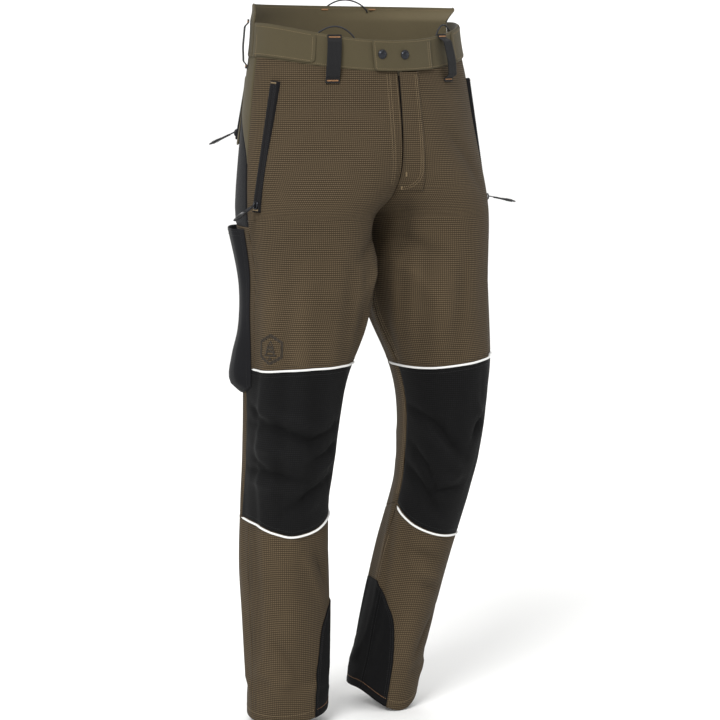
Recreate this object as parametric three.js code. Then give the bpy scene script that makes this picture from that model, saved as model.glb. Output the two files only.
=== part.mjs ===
// Chainsaw protective trousers, worn shape, empty. Millimetres, +Z up, -Y front, +X wearer's left.
// Origin: centre of the waist opening, level with the top edge of the front waistband.
import * as THREE from 'three';
import { mergeVertices } from 'three/addons/utils/BufferGeometryUtils.js';

// ---------------------------------------------------------------- driving constants
const FABRIC = 1.2;          // one shell panel with its lining
const BAND = 2.4;            // waistband, two layers and interfacing
const SEAM = 0.7;            // clear gap left at a seam line, half each side
const MID = 0.7;             // half gap at the body's mid plane
const OVER = 1.9;            // inner face of anything sewn on top of a panel
const KNEE_TOP = { '-1': -487, '1': -491 };
const INLAY = [-10.2, -4.8];  // protective pad, inside the shell
const INLAY_Z = [-125, -985];
const LOOP_W = 21;           // belt loop webbing
const CORD_R = 1.1;          // brace loop cord
const ZIP_W = 13;            // zip tape
const SNAP_R = 7;            // press stud cap
const SIDE_SEAM = -4.6;      // angle of the seam between front and back waistbands
const KIDNEY_RISE = 28;      // kidney panel above the side seams
const PASSES = 4;            // angle and height of a point depend on each other

// Horizontal sections, one half each: z, centre x, half width a, half depth b, centre y
const PELVIS = [
  [70, 0, 164, 112, 17], [0, 0, 168, 115, 14], [-60, 6, 172, 121, 10], [-120, 16, 170, 127, 6],
  [-180, 45, 149, 129, 0], [-225, 78, 120, 126, -5], [-262, 100, 99, 120, -9],
];
const LEG = {
  '-1': [
    [-340, 97, 94, 112, -15], [-413, 105, 90, 102, -18], [-490, 122, 75, 90, -22],
    [-535, 130, 70, 84, -26], [-582, 135, 66.5, 80, -26], [-640, 137, 64, 76, -20],
    [-688, 136.5, 62, 73, -10], [-785, 130.5, 64, 70, 5], [-875, 120, 62, 68, 20],
    [-985, 110, 60, 66, 35], [-1050, 106, 60, 66, 42],
  ],
  '1': [
    [-340, 103, 95, 112, -15], [-413, 110, 90, 102, -18], [-490, 127, 74, 90, -22],
    [-535, 130, 66, 84, -26], [-582, 129, 61, 80, -26], [-640, 126, 58, 76, -20],
    [-688, 121.5, 54, 72, -10], [-785, 106, 53, 70, 14], [-875, 93.5, 52, 68, 34],
    [-985, 78.5, 50, 66, 55], [-1060, 69, 50, 66, 65],
  ],
};
const TABLE = { '-1': PELVIS.concat(LEG['-1']), '1': PELVIS.concat(LEG['1']) };

// ---------------------------------------------------------------- the worn surface
const D2R = Math.PI / 180;
const lerp = (a, b, t) => a + (b - a) * t;
const clamp = (v, a, b) => Math.min(b, Math.max(a, v));
const smooth = (t) => {
  t = clamp(t, 0, 1);
  return t * t * (3 - 2 * t);
};

// cubic Hermite through a table of [x, y...] rows, x falling or rising
function curve(rows, x, col) {
  const n = rows.length;
  const up = rows[n - 1][0] > rows[0][0] ? 1 : -1;
  if ((x - rows[0][0]) * up <= 0) return rows[0][col];
  if ((x - rows[n - 1][0]) * up >= 0) return rows[n - 1][col];
  let i = 0;
  while ((x - rows[i + 1][0]) * up > 0) i++;
  const slope = (j) => {
    if (j === 0) return (rows[1][col] - rows[0][col]) / (rows[1][0] - rows[0][0]);
    if (j === n - 1) {
      return (rows[j][col] - rows[j - 1][col]) / (rows[j][0] - rows[j - 1][0]);
    }
    return (rows[j + 1][col] - rows[j - 1][col]) / (rows[j + 1][0] - rows[j - 1][0]);
  };
  const h = rows[i + 1][0] - rows[i][0];
  const t = (x - rows[i][0]) / h;
  const m0 = slope(i) * h;
  const m1 = slope(i + 1) * h;
  const y0 = rows[i][col];
  const y1 = rows[i + 1][col];
  const rise = 3 * t * t - 2 * t ** 3;
  return (1 - rise) * y0 + rise * y1 + (t ** 3 - 2 * t * t + t) * m0 + (t ** 3 - t * t) * m1;
}
const section = (k, z) => [1, 2, 3, 4].map((c) => curve(TABLE[k], z, c));

// k -1 wearer's right, +1 wearer's left. phi 0 outer side, 90 front, 180 inseam, -90 back
function at(k, phi, z, off = 0) {
  const [cx, a, b, cy] = section(k, z);
  const c = Math.cos(phi * D2R);
  const s = Math.sin(phi * D2R);
  const nx = c / a;
  const ny = -s / b;
  const l = Math.hypot(nx, ny);
  return [k * (cx + a * c + off * nx / l), cy - b * s + off * ny / l, z];
}
function normalAt(k, phi, z) {
  const [, a, b] = section(k, z);
  return new THREE.Vector3(k * Math.cos(phi * D2R) / a, -Math.sin(phi * D2R) / b, 0).normalize();
}
// angle at which a half meets the body's mid plane, or the inseam below the crotch
function inner(k, z, off, gap = MID) {
  const X = (p) => k * at(k, p, z, off)[0];
  if (X(180) > gap) return 180 - (gap / section(k, z)[2]) / D2R;
  let lo = 60;
  let hi = 180;
  for (let i = 0; i < 40; i++) {
    const m = (lo + hi) / 2;
    if (X(m) > gap) lo = m;
    else hi = m;
  }
  return lo;
}
// angle on the front of a half where x equals a given distance from the mid plane
function phiOfX(k, z, x, off = 0) {
  let lo = 0;
  let hi = 180;
  for (let i = 0; i < 40; i++) {
    const m = (lo + hi) / 2;
    if (k * at(k, m, z, off)[0] > x) lo = m;
    else hi = m;
  }
  return lo;
}

// ---------------------------------------------------------------- edges of the pattern pieces
const bandTop = (phi) => 26 * Math.cos(phi * D2R) ** 2;
const bandBottom = (phi) => -45 + 20 * Math.cos(phi * D2R) ** 2;
const backBottom = (phi) => -25 + 10 * Math.sin(phi * D2R) ** 2;
const kneeTop = (k) => KNEE_TOP[k];
const KNEE_LOW = {
  '-1': [
    [-180, -700], [-90, -708], [-25, -713], [20, -719], [44, -728], [69, -734],
    [105, -727], [140, -711], [180, -700],
  ],
  '1': [
    [-180, -712], [-90, -740], [-25, -757], [0, -760], [67, -759], [95, -756],
    [122, -748], [151, -734], [180, -712],
  ],
};
const kneeLow = (k, phi) => curve(KNEE_LOW[k], clamp(phi, -180, 180), 1);
function hem(k, phi) {
  const s = Math.sin(phi * D2R);
  const c = Math.cos(phi * D2R);
  if (k < 0) return -1027 - 5 * s - 10 * c;
  return s > 0 ? -1012 - 31 * s * s : -1012 + 2 * s * s;
}
// rear edge of the side hip panel, closing to the side seam at its lower tip
function hipRear(z) {
  if (z > -178) return lerp(-40, -5, smooth((-25 - z) / 153));
  return lerp(-5, 1.4, smooth((-178 - z) / 10));
}
// front edge of the ankle guards: height, angle
const GUARD = {
  '-1': [[-845, 176], [-855, 149], [-882, 122], [-927, 111], [-972, 104], [-1060, 101]],
  '1': [[-838, 176], [-849, 166], [-870, 149], [-893, 135], [-924, 126], [-973, 119], [-1060, 117]],
};

// ---------------------------------------------------------------- solids
const group = new THREE.Group();
group.name = 'chainsaw_trousers';
const MAT = {
  ripstop_brown: [0.30, 0.25, 0.17],
  ripstop_black: [0.10, 0.10, 0.105],
  twill_olive: [0.31, 0.29, 0.21],
  stretch_black: [0.09, 0.09, 0.10],
  reflective: [0.80, 0.81, 0.82],
  webbing_black: [0.05, 0.05, 0.055],
  cord_black: [0.04, 0.04, 0.045],
  zip_black: [0.06, 0.06, 0.065],
  gunmetal: [0.22, 0.23, 0.25],
  pad_yellow: [0.78, 0.72, 0.42],
};
// names a closed mesh, turns its faces outwards and puts it in the group
function add(name, geo, mat) {
  geo.deleteAttribute('uv');
  geo.deleteAttribute('normal');
  geo = mergeVertices(geo, 1e-3);
  const p = geo.getAttribute('position');
  const ix = geo.getIndex();
  const a = new THREE.Vector3();
  const b = new THREE.Vector3();
  const c = new THREE.Vector3();
  let vol = 0;
  for (let i = 0; i < ix.count; i += 3) {
    a.fromBufferAttribute(p, ix.getX(i));
    b.fromBufferAttribute(p, ix.getX(i + 1));
    c.fromBufferAttribute(p, ix.getX(i + 2));
    vol += a.dot(b.cross(c));
  }
  for (let i = 0; vol < 0 && i < ix.count; i += 3) {
    const t = ix.getX(i);
    ix.setX(i, ix.getX(i + 1));
    ix.setX(i + 1, t);
  }
  geo.computeVertexNormals();
  const metal = mat === 'gunmetal';
  const mesh = new THREE.Mesh(geo, new THREE.MeshStandardMaterial({
    color: new THREE.Color(...MAT[mat]),
    roughness: metal ? 0.4 : 0.9,
    metalness: metal ? 0.8 : 0,
  }));
  mesh.name = name;
  group.add(mesh);
}
// a curved sheet: f(s, t, w) gives a point; s across, t down, w through the thickness
function sheet(name, mat, nx, ny, f) {
  const g = new THREE.BoxGeometry(1, 1, 1, nx, ny, 1);
  const p = g.getAttribute('position');
  for (let i = 0; i < p.count; i++) {
    p.setXYZ(i, ...f(p.getX(i) + 0.5, 0.5 - p.getY(i), p.getZ(i) + 0.5));
  }
  add(name, g, mat);
}
// a panel of one half between two angle edges and two height edges
// ny is a count, or the heights of the rows
function panel(name, mat, k, nx, ny, o, phi0, phi1, top, bottom) {
  sheet(name, mat, nx, Array.isArray(ny) ? ny.length - 1 : ny, (s, t, w) => {
    const off = typeof o === 'function' ? o(s, t, w) : lerp(o[0], o[1], w);
    const rows = Array.isArray(ny) ? ny : null;
    const i = rows ? Math.round(t * (rows.length - 1)) : -1;
    let z = rows && i > 0 && i < rows.length - 1 ? rows[i] : lerp(top(90), bottom(90), t);
    let phi = 0;
    for (let j = 0; j < PASSES; j++) {
      phi = lerp(phi0(z, off), phi1(z, off), s);
      if (!rows) z = lerp(top(phi), bottom(phi), t);
      else if (i === 0) z = top(phi);
      else if (i === rows.length - 1) z = bottom(phi);
    }
    return at(k, phi, z, off);
  });
}
// a block along U from o: each row of pts is [distance along U, half width along V, low N, high N]
function slab(name, mat, o, U, V, N, pts) {
  const g = new THREE.BoxGeometry(1, 1, 1, pts.length - 1, 2, 1);
  const p = g.getAttribute('position');
  for (let i = 0; i < p.count; i++) {
    const r = pts[Math.round((p.getX(i) + 0.5) * (pts.length - 1))];
    const v = p.getY(i) * 2 * r[1];
    const n = p.getZ(i) < 0 ? r[2] : r[3];
    const q = o.clone().addScaledVector(U, r[0]).addScaledVector(V, v).addScaledVector(N, n);
    p.setXYZ(i, q.x, q.y, q.z);
  }
  add(name, g, mat);
}
const V3 = (a) => new THREE.Vector3(...a);
const side = (k) => (k < 0 ? 'right' : 'left');

// ---- waistbands
for (const k of [-1, 1]) {
  panel(
    `${side(k)}_front_waistband`, 'twill_olive', k, 9, 3, [0, BAND], () => -4,
    (z, off) => inner(k, z, off), bandTop, bandBottom
  );
}
// back waistband with the raised kidney panel, through the back from one side seam to the other
sheet('back_waistband', 'twill_olive', 22, 4, (s, t, w) => {
  const off = lerp(0, BAND, w);
  const k = s < 0.5 ? -1 : 1;
  const f = s < 0.5 ? s * 2 : (1 - s) * 2;
  let z = 20;
  let phi = 0;
  let edge = 0;
  for (let i = 0; i < PASSES; i++) {
    const end = 90 + Math.asin(clamp(section(k, z)[0] / section(k, z)[1], -1, 1)) / D2R;
    if (f < 0.12) phi = lerp(SIDE_SEAM, -10.5, f / 0.12);
    else phi = lerp(-10.5, -end, (f - 0.12) / 0.88);
    edge = clamp((SIDE_SEAM - phi) / 6, 0, 1);
    const top = 27 + KIDNEY_RISE * Math.sqrt(1 - (1 - edge) ** 2);
    z = lerp(top, backBottom(phi), t);
  }
  const P = at(k, phi, z, off);
  if (Math.abs(s - 0.5) < 1e-6) P[0] = 0;
  return P;
});

// heights of panel rows, closer together where the legs part
const CROTCH = [-160, -184, -204, -216, -230, -242, -252, -262, -285, -340];
const HIP = [0, -60, -95, -120, -145];
for (const k of [-1, 1]) {
  const S = side(k);
  const kt = kneeTop(k);
  const flyCut = (z, off, phi) => (z > -216 ? Math.min(phi, phiOfX(k, z, k < 0 ? 2.2 : 9.5, off)) : phi);
  // ---- thigh, hip and seat
  panel(
    `${S}_thigh_front_panel`, 'ripstop_brown', k, 10, [0, -75, -125, ...CROTCH, -413, 0], [0, FABRIC],
    () => 2, (z, off) => flyCut(z, off, inner(k, z, off)), (p) => bandBottom(p) - SEAM, () => kt
  );
  panel(
    `${S}_side_hip_panel`, 'twill_olive', k, 3, [...HIP, -176], [0, FABRIC], (z) => hipRear(z) + 0.35,
    () => 1.6, (p) => (p < -4.3 ? backBottom(p) : bandBottom(p)) - SEAM, () => -176
  );
  panel(
    `${S}_seat_panel`, 'stretch_black', k, 8, [...HIP, -176, -188, -216, -236, -252, -262, 0], [0, FABRIC],
    (z, off) => -inner(k, z, off), (z) => hipRear(z), (p) => backBottom(p) - SEAM, () => -275
  );
  panel(
    `${S}_thigh_back_panel`, 'ripstop_brown', k, 10, 5, [0, FABRIC], (z, off) => -inner(k, z, off),
    () => 1.6, () => -275 - SEAM, () => kt
  );
  // ---- knee
  panel(
    `${S}_knee_front_panel`, 'ripstop_black', k, 10, 6, [0, FABRIC], () => -20,
    (z, off) => inner(k, z, off), () => kt - SEAM, (p) => kneeLow(k, p)
  );
  panel(
    `${S}_knee_back_panel`, 'ripstop_brown', k, 8, 5, [0, FABRIC], (z, off) => -inner(k, z, off),
    () => -20.6, () => kt - SEAM, (p) => kneeLow(k, p)
  );
  // ---- lower leg
  panel(
    `${S}_shin_panel`, 'ripstop_brown', k, 10, 6, [0, FABRIC], () => 2, (z, off) => inner(k, z, off),
    (p) => kneeLow(k, p) - SEAM, (p) => hem(k, p)
  );
  panel(
    `${S}_calf_panel`, 'ripstop_brown', k, 10, 6, [0, FABRIC], (z, off) => -inner(k, z, off), () => 1.6,
    (p) => kneeLow(k, p) - SEAM, (p) => hem(k, p)
  );
  sheet(`${S}_ankle_guard`, 'stretch_black', 8, 9, (s, t0, w) => {
    const rows = GUARD[k];
    const z0 = rows[0][0];
    const t = t0 * t0;
    const off = lerp(OVER, OVER + FABRIC, w);
    let z = lerp(z0, -1015, t);
    let phi = 0;
    for (let i = 0; i < PASSES; i++) {
      phi = lerp(curve(rows, z, 1), 214, s);
      z = lerp(z0, hem(k, phi) + 0.4, t);
    }
    return at(k, phi, z, off);
  });
  // ---- reflective piping at the two knee seams
  panel(
    `${S}_knee_upper_piping`, 'reflective', k, 14, 1, [OVER, OVER + 1.6], () => -3, () => 176,
    () => kt + 2.2, () => kt - 1.6
  );
  panel(
    `${S}_knee_lower_piping`, 'reflective', k, 16, 1, [OVER, OVER + 1.6], () => -18, () => 176,
    (p) => kneeLow(k, p) - 0.8, (p) => kneeLow(k, p) - 4.6
  );
  // ---- protective pad
  panel(
    `${S}_protective_inlay`, 'pad_yellow', k, 8,
    [0, ...CROTCH, -413, -490, -535, -582, -640, -688, -785, -875, 0], INLAY, () => 10,
    (z, off) => Math.min(170, inner(k, z, off, 1.4)), () => INLAY_Z[0], () => INLAY_Z[1]
  );
}

// ---- zips: a straight stiff tape, a slider on it and a cloth pull
// A top end, B lower end with the slider, each angle, height, offset
function zip(name, k, A, B, w, pullDir, pullLen) {
  const a = V3(at(k, A[0], A[1], A[2]));
  const b = V3(at(k, B[0], B[1], B[2]));
  const U = b.clone().sub(a).normalize();
  const n0 = normalAt(k, (A[0] + B[0]) / 2, (A[1] + B[1]) / 2);
  const N = n0.clone().addScaledVector(U, -n0.dot(U)).normalize();
  const W = new THREE.Vector3().crossVectors(N, U);
  const L = a.distanceTo(b);
  const rows = [];
  for (let i = 0; i <= 3; i++) rows.push([L * i / 3, w / 2, 0, 1.1]);
  slab(`${name}_tape`, 'zip_black', a, U, W, N, rows);
  const s = b.clone().addScaledVector(U, -16);
  slab(
    `${name}_slider`, 'gunmetal', s, U, W, N,
    [
      [0, 3.0, 1.5, 3.4], [2, 4.4, 1.4, 4.2], [6, 4.4, 1.4, 5.0], [10, 3.8, 1.4, 5.0],
      [12, 2.6, 1.5, 3.8],
    ]
  );
  const P = s.clone().addScaledVector(U, 6).addScaledVector(N, 6.2);
  const Q = pullDir.clone().normalize();
  const H = new THREE.Vector3().crossVectors(Q, U).normalize();
  const X = new THREE.Vector3().crossVectors(H, Q).normalize();
  slab(
    `${name}_pull`, 'webbing_black', P, Q, H, X,
    [
      [0.2, 1.8, -0.8, 0.8], [6, 2.4, -0.8, 0.8], [9, 3.2, -1.0, 1.0], [12, 4.2, -1.4, 1.4],
      [pullLen * 0.6, 4.4, -1.6, 1.6], [pullLen - 3, 3.4, -1.2, 1.2], [pullLen, 1.6, -0.7, 0.7]
    ]
  );
}
{
  const nR = normalAt(-1, 16, -235);
  const nL = normalAt(1, 16, -235);
  const nB = normalAt(-1, -38, -142);
  zip(
    'right_hand_zip', -1, [23, -59, 5.0], [15, -251, 5.4], ZIP_W,
    nR.clone().multiplyScalar(39).add(new THREE.Vector3(0, 0, -21)), 45
  );
  zip(
    'left_hand_zip', 1, [23, -59, 5.0], [15, -251, 5.4], ZIP_W,
    nL.clone().multiplyScalar(43).add(new THREE.Vector3(0, 0, -9)), 44
  );
  zip(
    'back_zip', -1, [-36, -58, 4.6], [-38, -150, 10.5], 11,
    nB.clone().multiplyScalar(42).add(new THREE.Vector3(0, 0, -20)), 44
  );
}
// pocket welt behind the back zip, its free edge standing away from the seat
const WELT_LIFT = 5.6;
function weltOff(s, t, w) {
  const bow = Math.sin(Math.PI * clamp(s, 0.02, 0.98)) ** 0.7;
  return OVER + WELT_LIFT * smooth((t - 0.2) / 0.8) * bow + FABRIC * w;
}
panel(
  'back_pocket_welt', 'twill_olive', -1, 5, 6, weltOff, () => -50, () => -26, () => -54, () => -157
);

// point on the front of the pelvis for any x
const frontAt = (x, z, off) => {
  const k = x < 0 ? -1 : 1;
  const [cx, a, b, cy] = section(k, z);
  const c = clamp((Math.abs(x) - cx) / a, -1, 1);
  const s = Math.sqrt(1 - c * c);
  const nx = c / a;
  const ny = -s / b;
  const l = Math.hypot(nx, ny);
  return [x + (Math.abs(x) < 14 ? 0 : k * off * nx / l), cy - b * s + off * ny / l, z];
};

// ---- fly
const TAPE_X = [-5, 0, 4, 8.5, 13];
sheet(
  'fly_zip_tape', 'zip_black', 4, 9,
  (s, t, w) => frontAt(TAPE_X[Math.round(s * 4)], lerp(-52, -205, t), lerp(-4.0, -2.6, w))
);
{
  const f = (z, off) => V3(at(1, phiOfX(1, z, 5.8, off), z, off));
  const a = f(-62, -0.4);
  const b = f(-137, -0.4);
  const U = b.clone().sub(a).normalize();
  const W = new THREE.Vector3(1, 0, 0);
  const N = new THREE.Vector3().crossVectors(W, U).normalize();
  if (N.y > 0) N.negate();
  slab(
    'fly_zip_slider', 'gunmetal', a, U, W, N,
    [
      [0, 2.0, 0, 1.6], [2, 2.8, 0, 2.0], [8, 2.6, 0, 2.0], [9, 1.6, 0.4, 1.6], [24, 1.9, 0.4, 1.6],
      [26, 1.2, 0.6, 1.4]
    ]
  );
}
const flyEdge = (z) => lerp(10.5, 1.6, smooth((-60 - z) / 155));
panel(
  'fly_flap', 'ripstop_brown', 1, 5, 10, (s, t, w) => 3.0 + FABRIC * w,
  (z, off) => phiOfX(1, z, 36, off), (z, off) => phiOfX(1, z, flyEdge(z), off),
  (p) => bandBottom(p) - 1.2, () => -222
);

// ---- waist tab with two press studs
const TAB_X = [-38, 62];
sheet('waist_tab', 'twill_olive', 10, 3, (s, t, w) => {
  const x = lerp(TAB_X[0], TAB_X[1], s);
  const e = Math.min(1, (x - TAB_X[0]) / 7);
  const r = 5 * (1 - Math.sqrt(1 - (1 - e) ** 2));
  const top = 0.5 + 26 * (x / 168) ** 2 - r;
  const bot = -45 + 20 * (x / 172) ** 2 + r;
  return frontAt(x, lerp(top, bot, t), 5.2 + FABRIC * w);
});
const SNAPS = [[-25, -20, 'outer'], [12, -21, 'inner']];
for (const [x, z, n] of SNAPS) {
  const o = V3(frontAt(x, z, 0));
  const q = V3(frontAt(x + 2, z, 0)).sub(V3(frontAt(x - 2, z, 0))).normalize();
  const N = new THREE.Vector3(q.y, -q.x, 0);
  if (N.y > 0) N.negate();
  const lathe = (name, mat, prof) => {
    const g = new THREE.LatheGeometry(prof.map((p) => new THREE.Vector2(...p)), 16);
    g.applyQuaternion(new THREE.Quaternion().setFromUnitVectors(new THREE.Vector3(0, 1, 0), N));
    g.translate(o.x, o.y, o.z);
    add(name, g, mat);
  };
  lathe(
    `${n}_snap_cap`, 'gunmetal',
    [[0, 7.8], [SNAP_R, 7.8], [SNAP_R, 8.6], [SNAP_R * 0.82, 10.0], [SNAP_R * 0.45, 10.9], [0, 11.2]]
  );
  lathe(
    `${n}_snap_stud`, 'gunmetal',
    [[0, 3.5], [5.4, 3.5], [5.4, 3.9], [2.6, 4.0], [2.4, 4.6], [0, 4.6]]
  );
}

// ---- adjuster tabs over the front waistband
const ADJUSTER_END = 47;
for (const k of [-1, 1]) {
  sheet(`${side(k)}_adjuster_tab`, 'twill_olive', 9, 3, (s, t, w) => {
    const phi = lerp(0, ADJUSTER_END, s);
    const e = clamp((ADJUSTER_END - phi) / 4, 0, 1);
    const r = 6 * (1 - Math.sqrt(1 - (1 - e) ** 2));
    const top = bandTop(phi) - 1.5 - r;
    const bot = bandBottom(phi) + 2.5 + r;
    return at(k, phi, lerp(top, bot, t), lerp(3.6, 3.6 + FABRIC, w));
  });
}

// ---- belt loops: a strap sewn down at both ends, standing off the band between them
const LOOP_STAND = 11;
const LOOP_FOOT = 2.2;
function beltLoop(name, k, phi, zTop, zBot) {
  sheet(name, 'webbing_black', 1, 12, (s, t, w) => {
    const z0 = lerp(zTop, zBot, t);
    const e = clamp(Math.min(t, 1 - t) / 0.16, 0, 1);
    const base = lerp(4.8, LOOP_FOOT, smooth((t - 0.5) / 0.4));
    const lift = LOOP_STAND * smooth((e - 0.35) / 0.65) * (0.75 + 0.25 * Math.sin(Math.PI * t));
    const c = at(k, phi, z0, base + lift + 1.4 * w);
    const n = normalAt(k, phi, z0);
    return [c[0] + n.y * (s - 0.5) * -LOOP_W, c[1] + n.x * (s - 0.5) * LOOP_W, c[2]];
  });
}
beltLoop('right_front_belt_loop', -1, 57, 9, -62);
beltLoop('left_front_belt_loop', 1, 56, 9, -62);
beltLoop('right_side_belt_loop', -1, -16, 31, -42);
beltLoop('left_side_belt_loop', 1, -16, 31, -42);
beltLoop('back_belt_loop', -1, -89.5, 34, -32);

// ---- brace loops: cord arches sewn inside the top edge
function cord(name, f, n = 12) {
  const pts = [];
  for (let i = 0; i <= n; i++) pts.push(V3(f(i / n)));
  const g = new THREE.BufferGeometry();
  const v = [];
  const ix = [];
  const R = 6;
  const up = new THREE.Vector3(0, 0, 1);
  const across = new THREE.Vector3(1, 0, 0);
  let last = null;
  for (let i = 0; i <= n; i++) {
    const T = pts[Math.min(n, i + 1)].clone().sub(pts[Math.max(0, i - 1)]).normalize();
    const B = new THREE.Vector3().crossVectors(T, Math.abs(T.z) > 0.98 ? across : up).normalize();
    const C = new THREE.Vector3().crossVectors(B, T);
    if (last && B.dot(last) < 0) {
      B.negate();
      C.negate();
    }
    last = B;
    for (let j = 0; j < R; j++) {
      const q = j / R * 2 * Math.PI;
      const P = pts[i].clone();
      P.addScaledVector(B, CORD_R * Math.cos(q)).addScaledVector(C, CORD_R * Math.sin(q));
      v.push(P.x, P.y, P.z);
    }
  }
  v.push(pts[0].x, pts[0].y, pts[0].z, pts[n].x, pts[n].y, pts[n].z);
  const c0 = (n + 1) * R;
  const c1 = c0 + 1;
  for (let i = 0; i < n; i++) {
    for (let j = 0; j < R; j++) {
      const a = i * R + j;
      const b = i * R + (j + 1) % R;
      ix.push(a, b, a + R, b, b + R, a + R);
    }
  }
  for (let j = 0; j < R; j++) {
    ix.push(c0, (j + 1) % R, j);
    ix.push(c1, n * R + j, n * R + (j + 1) % R);
  }
  g.setAttribute('position', new THREE.Float32BufferAttribute(v, 3));
  g.setIndex(ix);
  add(name, g, 'cord_black');
}
const CORD_OFF = -1.9;
const arch = (t, lo, hi) => lo + (hi - lo) * Math.sin(Math.PI * clamp(t, 0, 1)) ** 0.6;
// an arch over the front waistband between two angles, its crown a given height above the edge
function frontArch(k, phi0, phi1, mid, crown) {
  return (t) => {
    const p = lerp(phi0, phi1, t);
    return at(k, p, arch(t, bandTop(p) - 12, bandTop(mid) + crown), CORD_OFF);
  };
}
cord('right_brace_loop', frontArch(-1, 45, 70, 57, 13));
cord('left_brace_loop', frontArch(1, 41, 61, 51, 12));
cord('back_brace_loop', (t) => at(1, lerp(-86.5, -61, t), arch(t, 44, 66), CORD_OFF));

// ---- outer thigh pockets
{
  const foot = (s) => smooth(Math.min(s, 1 - s) / 0.16);
  // how far each pocket stands off the leg: share of its height, offset
  const TOOL = [[0, 12], [0.2, 9.5], [0.45, 4], [0.62, 6], [0.78, 15], [0.93, 18], [1, 1.2]];
  const CARGO = [[0, 4.6], [0.3, 7], [0.8, 8], [1, 1.0]];
  panel(
    'right_tool_pocket', 'stretch_black', -1, 8, 12,
    (s, t, w) => 2.2 + curve(TOOL, t, 1) * foot(s) + FABRIC * w, () => -60, () => -5, () => -279,
    (p) => -526 + 14 * ((p + 32) / 28) ** 2
  );
  panel(
    'left_cargo_pocket', 'stretch_black', 1, 8, 7,
    (s, t, w) => 2.2 + curve(CARGO, t, 1) * foot(s) + FABRIC * w, () => -58, () => -5,
    () => -284, () => -466
  );
  panel(
    'left_cargo_flap', 'stretch_black', 1, 6, 4,
    (s, t, w) => 3.0 + lerp(0, 16.5, Math.pow(t, 0.6)) + 1.6 * w, () => -60, () => -3, () => -269,
    () => -348
  );
}

export default group;
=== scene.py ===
import math

import bpy
import numpy as np
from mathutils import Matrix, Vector


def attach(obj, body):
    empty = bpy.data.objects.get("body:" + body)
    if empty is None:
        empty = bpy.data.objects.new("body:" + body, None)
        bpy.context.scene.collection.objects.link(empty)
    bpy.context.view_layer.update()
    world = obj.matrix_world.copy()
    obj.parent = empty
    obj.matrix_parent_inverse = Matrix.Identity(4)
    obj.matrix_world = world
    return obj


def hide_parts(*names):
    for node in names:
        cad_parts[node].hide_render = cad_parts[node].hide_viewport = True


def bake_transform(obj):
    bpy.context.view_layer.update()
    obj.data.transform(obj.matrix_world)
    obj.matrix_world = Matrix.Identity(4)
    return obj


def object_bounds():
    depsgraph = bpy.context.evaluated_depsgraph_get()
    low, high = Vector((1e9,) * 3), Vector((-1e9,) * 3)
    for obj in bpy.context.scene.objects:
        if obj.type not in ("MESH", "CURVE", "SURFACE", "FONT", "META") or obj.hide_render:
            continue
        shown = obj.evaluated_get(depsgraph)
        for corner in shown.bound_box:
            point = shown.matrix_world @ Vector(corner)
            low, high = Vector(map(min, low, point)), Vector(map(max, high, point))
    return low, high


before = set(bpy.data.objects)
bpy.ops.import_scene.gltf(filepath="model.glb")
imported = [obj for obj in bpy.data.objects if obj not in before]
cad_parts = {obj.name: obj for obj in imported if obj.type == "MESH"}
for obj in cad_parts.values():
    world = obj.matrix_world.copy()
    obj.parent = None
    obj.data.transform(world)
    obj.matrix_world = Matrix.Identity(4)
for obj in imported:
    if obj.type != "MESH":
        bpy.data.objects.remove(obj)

cad_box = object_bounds()
MM = 0.001
SIDES = {-1: "right", 1: "left"}
THICK = 1.2            # shell panel
BAND = 2.4             # waistband
ON_TOP = 1.9           # inner face of what is sewn on top of a panel
SEAM = 0.25            # gap between neighbouring panels
MID = 0.35             # half gap at the body's mid plane
UNDER = 8.0            # how far panels run up under the waistband
BAND_IN = 1.35         # inner face of the waistband, over the panels
KNEE_TOP = {-1: -487.0, 1: -491.0}
# rise of the seam above the knee: phi, mm
KNEE_TOP_RISE = {
    -1: [(-180, 6), (-90, 0), (-20, 0), (20, 0), (60, 5), (100, 7), (140, 7.5), (180, 6)],
    1: [(-180, -4), (-90, 2), (-20, 6), (20, 9), (50, 8.5), (95, 2), (140, -4.5), (180, -4)],
}
STEP = 4.0             # grid step of a panel
STITCH_PITCH = 3.0     # one stitch and its gap
RIPSTOP_PITCH = 3.1
PASSES = 5             # angle and height of a point depend on each other
CROTCH_FLY = -216      # lower end of the fly opening
SIDE_SEAM = -4.6       # angle of the seam between front and back waistbands

# ------------------------------------------------------------------ the worn surface
# horizontal sections of one half: z, centre x, half width, half depth, centre y
PELVIS = [
    (70, 0, 164, 112, 17), (0, 0, 168, 115, 14), (-60, 6, 172, 121, 10), (-120, 16, 170, 127, 6),
    (-180, 45, 149, 129, 0), (-225, 78, 120, 126, -5), (-262, 100, 99, 120, -9),
]
LEG = {
    -1: [
        (-340, 97, 94, 112, -15), (-413, 105, 90, 102, -18), (-490, 122, 75, 90, -22),
        (-535, 130, 70, 84, -26), (-582, 135, 66.5, 80, -26), (-640, 137, 64, 76, -20),
        (-688, 136.5, 62, 73, -10), (-785, 130.5, 64, 70, 5), (-875, 120, 62, 68, 20),
        (-985, 110, 60, 66, 35), (-1050, 106, 60, 66, 42),
    ],
    1: [
        (-340, 103, 95, 112, -15), (-413, 110, 90, 102, -18), (-490, 127, 74, 90, -22),
        (-535, 130, 66, 84, -26), (-582, 129, 61, 80, -26), (-640, 126, 58, 76, -20),
        (-688, 121.5, 54, 72, -10), (-785, 106, 53, 70, 14), (-875, 93.5, 52, 68, 34),
        (-985, 78.5, 50, 66, 55), (-1060, 69, 50, 66, 65),
    ],
}
SECTIONS = {k: np.array(PELVIS + LEG[k], float) for k in SIDES}


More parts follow.
